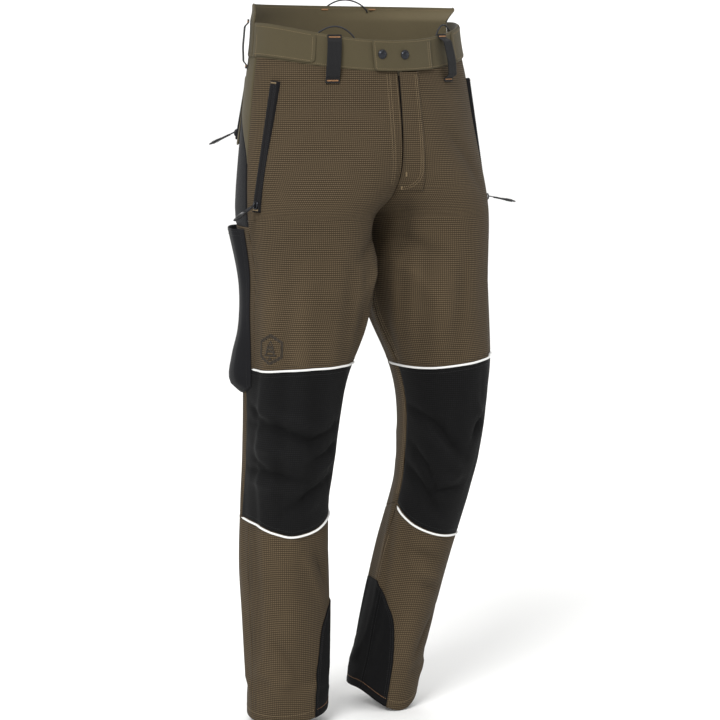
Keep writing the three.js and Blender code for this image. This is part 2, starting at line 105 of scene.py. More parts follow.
def hermite(rows, x, col=1):
    """Smooth curve through the rows of a table, at x, for arrays."""
    rows = np.asarray(rows, float)
    xs, ys = rows[:, 0], rows[:, col]
    if xs[0] > xs[-1]:
        xs, ys = xs[::-1], ys[::-1]
    m = np.empty(len(xs))
    m[0] = (ys[1] - ys[0]) / (xs[1] - xs[0])
    m[-1] = (ys[-1] - ys[-2]) / (xs[-1] - xs[-2])
    m[1:-1] = (ys[2:] - ys[:-2]) / (xs[2:] - xs[:-2])
    x = np.clip(x, xs[0], xs[-1])
    i = np.clip(np.searchsorted(xs, x, "right") - 1, 0, len(xs) - 2)
    h = xs[i + 1] - xs[i]
    t = (x - xs[i]) / h
    return ((2 * t**3 - 3 * t**2 + 1) * ys[i] + (t**3 - 2 * t**2 + t) * m[i] * h
            + (-2 * t**3 + 3 * t**2) * ys[i + 1] + (t**3 - t**2) * m[i + 1] * h)


def smooth(t):
    t = np.clip(t, 0, 1)
    return t * t * (3 - 2 * t)


def section(k, z):
    return [hermite(SECTIONS[k], z, c) for c in (1, 2, 3, 4)]


def normal(k, phi, z):
    """Outward, level with the ground."""
    _, a, b, _ = section(k, z)
    nx, ny = np.cos(np.radians(phi)) / a, -np.sin(np.radians(phi)) / b
    size = np.hypot(nx, ny)
    return np.stack([k * nx / size, ny / size, 0 * nx], -1)


def at(k, phi, z, off=0.0):
    """phi 0 outer side, 90 front, 180 inseam, -90 back; off outward. Millimetres."""
    phi, z = np.broadcast_arrays(np.asarray(phi, float), np.asarray(z, float))
    cx, a, b, cy = section(k, z)
    c, s = np.cos(np.radians(phi)), np.sin(np.radians(phi))
    flat = np.stack([k * (cx + a * c), cy - b * s, z], -1)
    return flat + normal(k, phi, z) * np.asarray(off, float)[..., None]


def bisect(k, z, x, off, start):
    """Narrows down the angle between start and 180 at which a half comes within x of the mid plane."""
    lo, hi = np.full(z.shape, start), np.full(z.shape, 180.0)
    for _ in range(30):
        middle = (lo + hi) / 2
        out = k * at(k, middle, z, off)[..., 0] > x
        lo, hi = np.where(out, middle, lo), np.where(out, hi, middle)
    return lo, hi


def inner(k, z, off=0.0, gap=MID):
    """Angle where a half meets the mid plane, or the inseam below the crotch."""
    z = np.asarray(z, float)
    lo, hi = bisect(k, z, gap, off, 60.0)
    seam = 180 - np.degrees(gap / section(k, z)[2])
    return np.where(hi > 179.9, seam, lo)


def phi_of_x(k, z, x, off=0.0):
    return bisect(k, np.asarray(z, float), x, off, 0.0)[0]


# ------------------------------------------------------------------ edges of the pattern pieces
def band_top(phi):
    return 26 * np.cos(np.radians(phi)) ** 2


def band_bottom(phi):
    return -45 + 20 * np.cos(np.radians(phi)) ** 2


def back_bottom(phi):
    return -25 + 10 * np.sin(np.radians(phi)) ** 2


KNEE_LOW = {
    -1: [(-180, -700), (-90, -708), (-25, -713), (20, -719), (44, -728), (69, -734),
         (105, -727), (140, -711), (180, -700)],
    1: [(-180, -712), (-90, -740), (-25, -757), (0, -760), (67, -759), (95, -756),
        (122, -748), (151, -734), (180, -712)],
}


def knee_top(k, phi):
    return KNEE_TOP[k] + hermite(KNEE_TOP_RISE[k], (np.asarray(phi, float) + 180) % 360 - 180)


def knee_low(k, phi):
    return hermite(KNEE_LOW[k], np.clip(phi, -180, 180))


def hem(k, phi):
    s, c = np.sin(np.radians(phi)), np.cos(np.radians(phi))
    if k < 0:
        return -1027 - 5 * s - 10 * c
    return np.where(s > 0, -1012 - 31 * s * s, -1012 + 2 * s * s)


def hip_rear(z):
    """Rear edge of the side hip panel, meeting the side seam at the panel's lower tip."""
    return -40 + 41.2 * smooth((-25 - z) / 162)


# front edge of the ankle guards: z, phi
GUARD = {
    -1: [(-845, 176), (-855, 149), (-882, 122), (-927, 111), (-972, 104), (-1060, 101)],
    1: [(-838, 176), (-849, 166), (-870, 149), (-893, 135), (-924, 126), (-973, 119), (-1060, 117)],
}


# ------------------------------------------------------------------ folds of the cloth
# a crease: k, strength mm, width mm, then its line as (phi, z) points
CREASES = [
    (-1, -5.0, 11, [(-4, -567), (30, -568), (54, -576), (83, -589), (105, -578), (130, -563)]),
    (-1, 3.2, 13, [(0, -548), (35, -551), (60, -558), (85, -570), (110, -556)]),
    (-1, -3.4, 9, [(-8, -539), (13, -555), (30, -565)]),
    (-1, 3.0, 15, [(0, -600), (35, -603), (65, -612), (90, -622)]),
    (-1, -4.4, 10, [(-8, -636), (30, -637), (60, -646), (85, -649)]),
    (-1, -2.6, 8, [(6, -617), (19, -626), (30, -633)]),
    (-1, 2.4, 12, [(0, -655), (40, -658), (75, -668)]),
    (-1, -3.8, 11, [(135, -592), (118, -605), (98, -616), (80, -624)]),
    (-1, 2.6, 11, [(135, -612), (112, -628), (92, -640)]),
    (-1, -4.0, 13, [(140, -640), (108, -657), (83, -675), (54, -701)]),
    (-1, 2.2, 14, [(110, -680), (80, -700)]),
    (1, -4.2, 11, [(175, -556), (152, -570), (135, -583), (115, -609), (88, -635)]),
    (1, 3.0, 13, [(150, -590), (128, -606), (108, -634), (90, -654)]),
    (1, -3.8, 10, [(168, -614), (157, -630), (140, -651), (129, -677)]),
    (1, -3.6, 8, [(126, -668), (124, -689), (104, -685), (83, -680)]),
    (1, 2.8, 11, [(118, -668), (100, -668), (84, -662)]),
    (1, -4.2, 13, [(176, -645), (147, -677), (125, -705), (104, -729)]),
    (1, 2.4, 12, [(120, -722), (95, -740)]),
    (1, -3.0, 11, [(60, -560), (74, -590), (80, -612)]),
    (1, 2.4, 13, [(80, -545), (66, -575), (60, -600)]),
    (1, -3.0, 13, [(-60, -570), (-90, -590), (-130, -580)]),
    (-1, -3.0, 13, [(-60, -560), (-90, -585), (-130, -575)]),
    (1, -3.2, 13, [(-50, -640), (-90, -625), (-140, -640)]),
    (-1, -3.2, 13, [(-50, -630), (-90, -618), (-140, -634)]),
    (1, 3.0, 16, [(-50, -605), (-90, -607), (-135, -608)]),
    (-1, 3.0, 16, [(-50, -598), (-90, -600), (-135, -602)]),
    (1, -2.8, 16, [(-40, -300), (-80, -285), (-140, -300)]),
    (-1, -2.8, 16, [(-70, -300), (-100, -285), (-150, -300)]),
    (1, -2.4, 14, [(-70, -240), (-100, -255), (-140, -262)]),
    (-1, -2.4, 14, [(-70, -240), (-100, -255), (-140, -262)]),
    (1, -2.4, 15, [(-60, -930), (-100, -915), (-150, -935)]),
    (-1, -2.4, 15, [(-60, -930), (-100, -915), (-150, -935)]),
    (-1, -2.6, 16, [(150, -280), (125, -300), (100, -330)]),
    (-1, 2.4, 18, [(160, -310), (130, -345), (105, -390)]),
    (-1, -2.4, 14, [(160, -350), (135, -385), (118, -430)]),
    (1, -2.8, 16, [(165, -285), (135, -300), (105, -320)]),
    (1, 2.4, 18, [(160, -320), (130, -350), (110, -400)]),
    (1, -2.2, 15, [(70, -120), (58, -180), (50, -240)]),
    (-1, -2.6, 12, [(100, -760), (120, -790), (140, -830)]),
    (-1, 2.2, 14, [(80, -760), (100, -800), (125, -860)]),
    (1, -2.6, 11, [(80, -800), (110, -790), (140, -780)]),
    (1, 2.0, 12, [(60, -835), (95, -822), (125, -812)]),
    (1, -2.2, 11, [(60, -850), (90, -842), (110, -838)]),
    (-1, -2.0, 14, [(40, -900), (60, -930), (75, -970)]),
    (1, -2.0, 14, [(30, -880), (60, -910), (85, -960)]),
    (-1, -2.4, 11, [(20, -48), (36, -66), (46, -60)]),
    (1, -3.4, 15, [(122, -222), (138, -262), (150, -330)]),
    (-1, -3.0, 15, [(120, -222), (142, -265), (160, -335)]),
]
# waves round the leg: k, height mm, centre z, spread z, number round, phase, slant
WAVES = [
    (-1, 1.6, -400, 90, 3, 0.4, 0.010), (1, 1.6, -400, 90, 3, 1.7, 0.012),
    (-1, 1.2, -900, 120, 4, 2.0, 0.008), (1, 1.3, -930, 110, 4, 0.6, 0.010),
    (-1, 0.9, -160, 70, 4, 1.0, 0.006), (1, 0.9, -160, 70, 4, 2.2, 0.006),
]
CREASE_GAIN = 1.8
CREASE_SHARP = 1.45    # 2 is a round valley, 1 a sharp one
ARC = 1.35             # mm of surface per degree, used to measure across a crease


def crease(phi, z, line, width):
    """1 on the line, falling to 0 at its width and at its ends."""
    p = np.array(line, float) * (ARC, 1)
    x, y = phi * ARC, z
    best, along = np.full(np.shape(x), 1e9), np.zeros(np.shape(x))
    seg = np.linalg.norm(np.diff(p, axis=0), axis=1)
    start = np.concatenate([[0], np.cumsum(seg)])
    for i in range(len(p) - 1):
        d = p[i + 1] - p[i]
        t = np.clip(((x - p[i, 0]) * d[0] + (y - p[i, 1]) * d[1]) / (d @ d), 0, 1)
        dist = np.hypot(x - p[i, 0] - t * d[0], y - p[i, 1] - t * d[1])
        near = dist < best
        best = np.where(near, dist, best)
        along = np.where(near, start[i] + t * seg[i], along)
    ends = np.sin(np.pi * np.clip(along / start[-1], 0.04, 0.96)) ** 0.7
    return np.exp(-(best / width * 1.6) ** CREASE_SHARP) * ends


# simulated drape of each leg: a tube of cloth, a little too long for the leg, held at thigh and hem
DRAPE_TOP, DRAPE_LOW = -290.0, -1010.0
DRAPE_ROWS, DRAPE_COLS = 100, 96
DRAPE_FRAMES = 24
DRAPE_EXTRA = 0.035    # cloth longer than the leg by this share
DRAPE_SHARE = 0.55     # how much of the simulated movement is kept
DRAPE_CAP = 2.6        # most a point may move, mm
DRAPE_FINEST = 3       # broader waves round the leg than this are left out, so its outline stays
DRAPED = {}


def drape(k):
    """Simulates one leg and keeps how far each point moved out or in, over (z, phi)."""
    zs = np.linspace(DRAPE_TOP, DRAPE_LOW, DRAPE_ROWS)
    phis = np.arange(DRAPE_COLS) / DRAPE_COLS * 360 - 180
    phi, z = np.meshgrid(phis, zs)
    rest = at(k, phi, z)
    i, j = np.meshgrid(np.arange(DRAPE_ROWS - 1), np.arange(DRAPE_COLS), indexing="ij")
    a, b = i * DRAPE_COLS + j, i * DRAPE_COLS + (j + 1) % DRAPE_COLS
    faces = np.stack([a, b, b + DRAPE_COLS, a + DRAPE_COLS], -1).reshape(-1, 4)
    mesh = bpy.data.meshes.new("drape")
    mesh.from_pydata((rest.reshape(-1, 3) * MM).tolist(), [], faces.tolist())
    obj = bpy.data.objects.new("drape", mesh)
    bpy.context.scene.collection.objects.link(obj)
    pin = obj.vertex_groups.new(name="pin")
    count = DRAPE_ROWS * DRAPE_COLS
    pin.add(list(range(DRAPE_COLS)) + list(range(count - DRAPE_COLS, count)), 1.0, "REPLACE")
    mod = obj.modifiers.new("cloth", "CLOTH")
    cloth = mod.settings
    cloth.quality = 6
    cloth.mass = 0.3
    cloth.tension_stiffness = cloth.compression_stiffness = 20
    cloth.shear_stiffness = 8
    cloth.bending_stiffness = 1.5
    cloth.vertex_group_mass = "pin"
    cloth.shrink_min = -DRAPE_EXTRA
    cloth.use_pressure = True
    cloth.uniform_pressure_force = 0.6
    cloth.effector_weights.gravity = 0.5
    mod.collision_settings.use_collision = False
    mod.point_cache.frame_start, mod.point_cache.frame_end = 1, DRAPE_FRAMES
    for frame_number in range(1, DRAPE_FRAMES + 1):
        bpy.context.scene.frame_set(frame_number)
    moved = obj.evaluated_get(bpy.context.evaluated_depsgraph_get()).to_mesh()
    co = np.zeros(count * 3, np.float32)
    moved.vertices.foreach_get("co", co)
    shift = ((co.reshape(rest.shape).astype(float) / MM - rest) * normal(k, phi, z)).sum(-1)
    bpy.data.objects.remove(obj)
    bpy.context.scene.frame_set(1)
    rounds = np.fft.rfft(shift, axis=1)
    rounds[:, :DRAPE_FINEST] = 0
    shift = np.fft.irfft(rounds, DRAPE_COLS, axis=1)
    DRAPED[k] = DRAPE_CAP * np.tanh(DRAPE_SHARE * shift / DRAPE_CAP)


def draped(k, phi, z):
    """The simulated movement at any place, fading out at both ends of the leg."""
    if k not in DRAPED:
        return 0.0
    field = DRAPED[k]
    u = ((np.asarray(phi, float) + 180) % 360) / 360 * DRAPE_COLS
    v = np.clip((DRAPE_TOP - z) / (DRAPE_TOP - DRAPE_LOW), 0, 1) * (DRAPE_ROWS - 1)
    j, i = np.floor(u).astype(int), np.minimum(np.floor(v).astype(int), DRAPE_ROWS - 2)
    fu, fv = u - j, v - i
    j, q = j % DRAPE_COLS, (j + 1) % DRAPE_COLS
    upper = field[i, j] * (1 - fu) + field[i, q] * fu
    lower = field[i + 1, j] * (1 - fu) + field[i + 1, q] * fu
    return (upper * (1 - fv) + lower * fv) * smooth((DRAPE_TOP - z) / 60) * smooth((z - DRAPE_LOW) / 30)


def relief(k, phi, z):
    """How far the folds move the cloth outward. They fade towards the mid plane and the waist."""
    out = np.zeros(np.broadcast(phi, z).shape)
    for kk, height, width, line in CREASES:
        if kk == k:
            out += CREASE_GAIN * height * crease(phi, z, line, width)
    for kk, height, centre, spread, n, phase, slant in WAVES:
        if kk == k:
            fade = np.exp(-((z - centre) / spread) ** 2)
            out += height * fade * np.sin(np.radians(phi) * n + phase + (z - centre) * slant)
    out = out + draped(k, phi, z)
    from_middle = np.abs(at(k, phi, z)[..., 0])
    return out * smooth((from_middle - 2) / 28) * smooth((-50 - z) / 50)


def skin(k, phi, z, off=0.0):
    """A point of the folded cloth, in millimetres."""
    phi, z = np.broadcast_arrays(np.asarray(phi, float), np.asarray(z, float))
    return at(k, phi, z, relief(k, phi, z) + off)


# ------------------------------------------------------------------ materials
def node(tree, kind, **values):
    n = tree.nodes.new(kind)
    for key, value in values.items():
        setattr(n, key, value)
    return n


def rgb(*levels):
    """8-bit colour to linear."""
    linear = [((c / 255 + 0.055) / 1.055) ** 2.4 if c > 10 else c / 255 / 12.92 for c in levels]
    return (*linear, 1.0)


def material(name, colour, rough=0.85, metal=0.0, sheen=0.0, specular=0.35):
    m = bpy.data.materials.new(name)
    m.use_nodes = True
    shader = m.node_tree.nodes["Principled BSDF"]
    shader.inputs["Base Color"].default_value = colour
    shader.inputs["Roughness"].default_value = rough
    shader.inputs["Metallic"].default_value = metal
    shader.inputs["Sheen Weight"].default_value = sheen
    shader.inputs["Specular IOR Level"].default_value = specular
    return m, m.node_tree, shader


def maths(tree, op, a, b=None, c=None):
    n = node(tree, "ShaderNodeMath", operation=op)
    for i, v in enumerate((a, b, c)):
        if v is None:
            continue
        if isinstance(v, (int, float)):
            n.inputs[i].default_value = v
        else:
            tree.links.new(v, n.inputs[i])
    return n.outputs[0]


def mixed(tree, fac, a, b):
    n = node(tree, "ShaderNodeMix", data_type="RGBA")
    for i, v in ((0, fac), (6, a), (7, b)):
        if isinstance(v, (int, float, tuple)):
            n.inputs[i].default_value = v
        else:
            tree.links.new(v, n.inputs[i])
    return n.outputs[2]


def line_mask(tree, value, pitch, share):
    """1 on evenly spaced lines that take up a share of the pitch, with soft edges."""
    wave = maths(tree, "PINGPONG", maths(tree, "DIVIDE", value, pitch), 0.5)
    n = node(tree, "ShaderNodeMapRange", interpolation_type="SMOOTHSTEP")
    tree.links.new(wave, n.inputs[0])
    n.inputs[1].default_value = share / 2 + 0.06
    n.inputs[2].default_value = share / 2 - 0.06
    return n.outputs[0]


def cloth_coords(tree):
    uv = node(tree, "ShaderNodeUVMap", uv_map="weave")
    xyz = node(tree, "ShaderNodeSeparateXYZ")
    tree.links.new(uv.outputs[0], xyz.inputs[0])
    return uv.outputs[0], xyz.outputs[0], xyz.outputs[1]


def patchy(tree, colour, amount, scale):
    """Slow light and dark variation, as on old and often washed cloth."""
    place = node(tree, "ShaderNodeTexCoord")
    n = node(tree, "ShaderNodeTexNoise")
    n.inputs["Scale"].default_value = scale
    n.inputs["Detail"].default_value = 4.0
    tree.links.new(place.outputs["Object"], n.inputs["Vector"])
    hsv = node(tree, "ShaderNodeHueSaturation")
    span = node(tree, "ShaderNodeMapRange")
    tree.links.new(n.outputs[0], span.inputs[0])
    span.inputs[3].default_value = 1 - amount
    span.inputs[4].default_value = 1 + amount
    tree.links.new(span.outputs[0], hsv.inputs["Value"])
    tree.links.new(colour, hsv.inputs["Color"])
    return hsv.outputs[0]


def paint_fold_shade(tree, colour, amount):
    """Painted shade and painted light on the folds: valleys darker and ridges paler, as light would fall on
    them.
    """
    painted_fold_shade = node(tree, "ShaderNodeAttribute", attribute_name="painted_fold_shade")
    hsv = node(tree, "ShaderNodeHueSaturation")
    tree.links.new(maths(tree, "MULTIPLY_ADD", painted_fold_shade.outputs["Fac"], amount, 1.0), hsv.inputs["Value"])
    tree.links.new(colour, hsv.inputs["Color"])
    return hsv.outputs[0]


def add_bump(tree, shader, height, strength, distance):
    bump = node(tree, "ShaderNodeBump")
    bump.inputs["Strength"].default_value = strength
    bump.inputs["Distance"].default_value = distance
    tree.links.new(height, bump.inputs["Height"])
    tree.links.new(bump.outputs[0], shader.inputs["Normal"])


def ripstop(name, ground, grid, rough, share=0.42, fold_shade_strength=0.2):
    """Plain ground crossed by a square grid of thicker yarns."""
    m, tree, shader = material(name, ground, rough, sheen=0.02, specular=0.12)
    _, u, v = cloth_coords(tree)
    across = maths(tree, "MULTIPLY", line_mask(tree, u, RIPSTOP_PITCH * MM, share), 0.72)
    down = line_mask(tree, v, RIPSTOP_PITCH * MM, share)
    both = maths(tree, "MAXIMUM", across, down)
    fine = maths(tree, "ADD", line_mask(tree, u, 0.55 * MM, 0.5), line_mask(tree, v, 0.55 * MM, 0.5))
    colour = mixed(tree, both, ground, grid)
    # random tone variation, then painted shade in the fold valleys and painted light on the ridges
    tree.links.new(paint_fold_shade(tree, patchy(tree, colour, 0.10, 14), fold_shade_strength), shader.inputs["Base Color"])
    height = maths(tree, "ADD", both, maths(tree, "MULTIPLY", fine, 0.25))
    add_bump(tree, shader, height, 0.35, 0.0004)
    rough_map = maths(tree, "MULTIPLY_ADD", both, -0.08, rough)
    tree.links.new(rough_map, shader.inputs["Roughness"])
    return m


def twill(name, ground, light, rough=0.85, pitch=0.8, slant=1.0, sheen=0.15):
    """Fine diagonal ribs."""
    m, tree, shader = material(name, ground, rough, sheen=sheen, specular=0.15)
    uv, u, v = cloth_coords(tree)
    diagonal = maths(tree, "MULTIPLY_ADD", v, slant, u)
    rib = line_mask(tree, diagonal, pitch * MM, 0.5)
    speck = node(tree, "ShaderNodeTexNoise")
    speck.inputs["Scale"].default_value = 900
    tree.links.new(uv, speck.inputs["Vector"])
    fac = maths(tree, "MULTIPLY", maths(tree, "ADD", rib, speck.outputs[0]), 0.5)
    tree.links.new(patchy(tree, mixed(tree, fac, ground, light), 0.08, 18), shader.inputs["Base Color"])
    add_bump(tree, shader, fac, 0.3, 0.0003)
    return m


def webbing(name, ground, light):
    """Ribs across a strap, with rolled edges."""
    m, tree, shader = material(name, ground, 0.75, sheen=0.03, specular=0.2)
    _, u, v = cloth_coords(tree)
    rows = line_mask(tree, v, 1.6 * MM, 0.6)
    cols = line_mask(tree, u, 1.9 * MM, 0.7)
    woven = maths(tree, "MULTIPLY", rows, cols)
    tree.links.new(mixed(tree, woven, ground, light), shader.inputs["Base Color"])
    add_bump(tree, shader, woven, 0.8, 0.0006)
    return m


def speckled(name, ground, light, rough, scale, bump=0.2, metal=0.0, specular=0.4):
    """Even surface with a fine grain, for thread, cord, plastic and metal."""
    m, tree, shader = material(name, ground, rough, metal, specular=specular)
    place = node(tree, "ShaderNodeTexCoord")
    n = node(tree, "ShaderNodeTexNoise")
    n.inputs["Scale"].default_value = scale
    n.inputs["Detail"].default_value = 3.0
    tree.links.new(place.outputs["Object"], n.inputs["Vector"])
    tree.links.new(mixed(tree, n.outputs[0], ground, light), shader.inputs["Base Color"])
    add_bump(tree, shader, n.outputs[0], bump, 0.0003)
    return m


MAT = {
    "brown": ripstop("brown_ripstop", rgb(90, 77, 59), rgb(41, 33, 22), 0.92),
    # the black knees get stronger painted fold shade
    "black_ripstop": ripstop("black_ripstop", rgb(19, 19, 20), rgb(1, 1, 1), 0.85, fold_shade_strength=0.45),
    "olive": twill("olive_twill", rgb(63, 56, 40), rgb(78, 71, 52), sheen=0.06),
    # lighter copy of the olive twill for the inside of the raised back: painted light, making up for the
    # shade that falls there
    "olive_painted_light": twill("olive_twill_painted_light", rgb(76, 68, 50), rgb(94, 85, 64), sheen=0.06),
    "stretch": twill("black_stretch", rgb(13, 13, 15), rgb(22, 22, 25), 0.85, 1.1, sheen=0.04),
    "guard": twill("black_guard", rgb(4, 4, 5), rgb(9, 9, 10), 0.88, 1.4, sheen=0.0),
    "lining": twill("lining", rgb(52, 48, 38), rgb(66, 61, 48), 0.9, 1.6),
    "pad": twill("pad_cover", rgb(28, 28, 28), rgb(44, 44, 42), 0.9, 2.2),
    "webbing": webbing("black_webbing", rgb(12, 12, 13), rgb(30, 30, 32)),
    "tape": twill("zip_tape", rgb(11, 11, 12), rgb(21, 20, 22), 0.85, 0.9, sheen=0.03),
    "coil": speckled("zip_coil", rgb(12, 12, 13), rgb(20, 20, 21), 0.5, 700),
    "cord": speckled("black_cord", rgb(14, 15, 18), rgb(34, 35, 40), 0.7, 1500, 0.5),
    "plastic": speckled("black_plastic", rgb(9, 9, 10), rgb(16, 16, 17), 0.35, 500, 0.1),
    "metal": speckled("gunmetal", rgb(38, 39, 43), rgb(56, 58, 62), 0.26, 300, 0.05, 0.9, 0.5),
    "reflective": speckled("reflective_piping", rgb(206, 206, 203), rgb(230, 230, 229), 0.45, 1200, 0.25),
    "tan": speckled("tan_thread", rgb(112, 96, 70), rgb(142, 122, 92), 0.75, 900, 0.3),
    "orange": speckled("orange_thread", rgb(140, 100, 66), rgb(166, 124, 86), 0.75, 900, 0.3),
    "dark": speckled("dark_thread", rgb(30, 24, 16), rgb(46, 38, 27), 0.65, 900, 0.3),
    "black": speckled("black_thread", rgb(12, 12, 13), rgb(26, 26, 27), 0.6, 900, 0.3),
}


# ------------------------------------------------------------------ mesh builders
def new_object(name, verts, faces, mats, uv=None, slots=None, smooth_faces=True):
    mesh = bpy.data.meshes.new(name)
    mesh.from_pydata((np.asarray(verts) * MM).tolist(), [], [list(map(int, f)) for f in faces])
    for m in mats:
        mesh.materials.append(MAT[m])
    if slots is not None:
        mesh.polygons.foreach_set("material_index", np.asarray(slots, np.int32))
    mesh.polygons.foreach_set("use_smooth", [smooth_faces] * len(mesh.polygons))
    if uv is not None:
        layer = mesh.uv_layers.new(name="weave")
        loops = np.zeros(len(mesh.loops), np.int32)
        mesh.loops.foreach_get("vertex_index", loops)
        layer.data.foreach_set("uv", (np.asarray(uv)[loops] * MM).astype(np.float32).ravel())
    mesh.validate()
    mesh.update()
    obj = bpy.data.objects.new(name, mesh)
    bpy.context.scene.collection.objects.link(obj)
    return obj


def grid_faces(nu, nv, start=0, flip=False):
    i, j = np.meshgrid(np.arange(nv - 1), np.arange(nu - 1), indexing="ij")
    a = start + i * nu + j
    quads = np.stack([a, a + 1, a + nu + 1, a + nu], -1).reshape(-1, 4)
    return quads[:, ::-1] if flip else quads


def rim_of(nu, nv):
    """Vertices round the border of a grid, in order."""
    return np.concatenate([np.arange(nu), np.arange(1, nv) * nu + nu - 1,
                           (nv - 1) * nu + np.arange(nu - 2, -1, -1), np.arange(nv - 2, 0, -1) * nu])


def two_sided(name, outer, inside, uv, mats):
    """A cloth of real thickness, closed round its rim. Both faces are arrays of (rows, columns, 3)."""
    nv, nu = outer.shape[:2]
    n = nu * nv
    i, j = nv // 2 - 1, nu // 2 - 1
    o, q = outer[i, j], inside[i, j]
    a, b = outer[i + 1, j] - o, outer[i, j + 1] - o
    flip = np.dot(np.cross(b, a), o - q) < 0
    faces = [grid_faces(nu, nv, 0, flip), grid_faces(nu, nv, n, not flip)]
    border = rim_of(nu, nv)
    following = np.roll(border, -1)
    rim = np.stack([border, border + n, following + n, following], -1)
    faces.append(rim[:, ::-1] if flip else rim)
    slots = [0] * len(faces[0]) + [len(mats) - 1] * len(faces[1]) + [0] * len(rim)
    verts = np.concatenate([outer.reshape(-1, 3), inside.reshape(-1, 3)])
    both_uv = np.concatenate([uv.reshape(-1, 2)] * 2)
    return new_object(name, verts, np.concatenate(faces), mats, both_uv, slots)


def steps(length, step, edge=(0.9, 2.2)):
    """Positions from 0 to 1, about a step apart, closer at both ends."""
    n = max(2, int(round(length / step)))
    near = [d / length for d in edge if d < length / 6]
    if not near:
        return np.linspace(0, 1, n + 1)
    mid = np.linspace(near[-1], 1 - near[-1], n)
    return np.concatenate([[0], near[:-1], mid, [1 - d for d in near[:-1]][::-1], [1]])


def lengths(points, axis):
    d = np.linalg.norm(np.diff(points, axis=axis), axis=-1)
    zero = np.zeros_like(np.take(d, [0], axis))
    return np.cumsum(np.concatenate([zero, d], axis), axis)


def cloth_uv(points):
    """Flat pattern coordinates, from the arc lengths across and down."""
    across, down = lengths(points, 1), lengths(points, 0)
    mid = points.shape[1] // 2
    u = across - across[:, mid:mid + 1]
    v = np.interp(points[..., 2], points[::-1, mid, 2], down[::-1, mid])
    over = points[..., 2] > points[0, mid, 2]
    v = np.where(over, points[0, mid, 2] - points[..., 2], v)
    under = points[..., 2] < points[-1, mid, 2]
    v = np.where(under, down[-1, mid] + points[-1, mid, 2] - points[..., 2], v)
    return np.stack([u, -v], -1)


def edge_drop(across, down, roll):
    """How far the face rolls down towards each edge: left, right, top, bottom."""
    out = 0
    for depth, d in zip(roll, (across, across[:, -1:] - across, down, down[-1:] - down)):
        out = out + depth * np.clip(1 - d / 2.4, 0, 1) ** 2
    return out


EDGE_ROLL = (0.8, 0.8, 0.8, 0.8)
FOLD_SHADE_DEPTH = 5         # a fold this deep gets the full painted fold shade


def panel(name, k, phi0, phi1, top, bottom, mats,
          off=0.0, thick=THICK, roll=EDGE_ROLL, step=STEP, shape=None):
    """A panel of one half between two angle edges and two height edges; shape lifts it off the leg."""
    front_of_side = np.array(60.0)
    z_top, z_low = float(top(front_of_side)), float(bottom(front_of_side))
    z_mid = np.array((z_top + z_low) / 2)
    width = abs(float(phi1(z_mid)) - float(phi0(z_mid))) * ARC
    S, T = np.meshgrid(steps(max(width, 12), step), steps(z_top - z_low, step))
    front = np.array(90.0)
    z = float(top(front)) * (1 - T) + float(bottom(front)) * T
    for _ in range(PASSES):
        phi = phi0(z) * (1 - S) + phi1(z) * S
        z = top(phi) * (1 - T) + bottom(phi) * T
    base = at(k, phi, z, off + thick)
    across, down = lengths(base, 1), lengths(base, 0)
    extra = shape(S, T, phi, z) if shape else 0.0
    drop = edge_drop(across, down, roll)
    outer = skin(k, phi, z, off + thick - drop + extra)
    inside = skin(k, phi, z, off + extra)
    obj = cloth_piece(name, outer, inside, mats, base)
    # painted shade: each point's fold depth, so the cloth colour is darker in the valleys and paler on the
    # ridges
    painted_fold_shade = np.clip(relief(k, phi, z) / FOLD_SHADE_DEPTH, -1, 1).ravel()
    layer = obj.data.attributes.new("painted_fold_shade", "FLOAT", "POINT")
    layer.data.foreach_set("value", np.tile(painted_fold_shade, 2).astype(np.float32))
    return obj


def frames(points):
    """Tangents of a path."""
    t = np.gradient(points, axis=0)
    return t / np.maximum(np.linalg.norm(t, axis=1, keepdims=True), 1e-9)


def resample(points, gap, *others):
    """Points of a path at even gaps, and what goes with them."""
    d = np.concatenate([[0], np.cumsum(np.linalg.norm(np.diff(points, axis=0), axis=1))])
    n = max(2, int(d[-1] / gap) + 1)
    x = np.linspace(0, d[-1], n)
    return [np.stack([np.interp(x, d, p[:, c]) for c in range(3)], -1) for p in (points, *others)]


def ring_faces(rings, sides):
    """Faces between closed rings of points, one ring after another."""
    faces = []
    for i in range(rings - 1):
        for j in range(sides):
            q = (j + 1) % sides
            faces.append([i * sides + j, (i + 1) * sides + j, (i + 1) * sides + q, i * sides + q])
    return faces


def tube(points, radius, sides=10, flat=1.0, up=None):
    """Verts and faces of a capped tube. radius may vary along it; flat squeezes it along up."""
    p = np.asarray(points, float)
    n, t = len(p), frames(p)
    r = np.broadcast_to(radius, n)
    up = np.broadcast_to([0, 0, 1.0] if up is None else up, (n, 3)).astype(float)
    side = np.cross(t, up)
    bad = np.linalg.norm(side, axis=1) < 0.15
    side[bad] = np.cross(t[bad], [1.0, 0, 0])
    for i in range(1, n):
        if side[i] @ side[i - 1] < 0:
            side[i] = -side[i]
    side /= np.linalg.norm(side, axis=1, keepdims=True)
    over = np.cross(side, t)
    a = np.arange(sides) / sides * 2 * np.pi
    ring = (p[:, None] + side[:, None] * (np.cos(a)[None, :, None] * r[:, None, None])
            + over[:, None] * (np.sin(a)[None, :, None] * r[:, None, None] * flat))
    verts = np.concatenate([ring.reshape(-1, 3), p[:1], p[-1:]])
    faces = ring_faces(n, sides)
    first, last = n * sides, n * sides + 1
    for j in range(sides):
        q = (j + 1) % sides
        faces.append([first, j, q])
        faces.append([last, (n - 1) * sides + q, (n - 1) * sides + j])
    return verts, faces


# rings of one stitch: place along it, size, height over the cloth
STITCH_RINGS = ((-0.5, 0.35, -0.25), (-0.25, 1.0, 0.08), (0.25, 1.0, 0.08), (0.5, 0.35, -0.25))
TACK_PITCH = 0.8


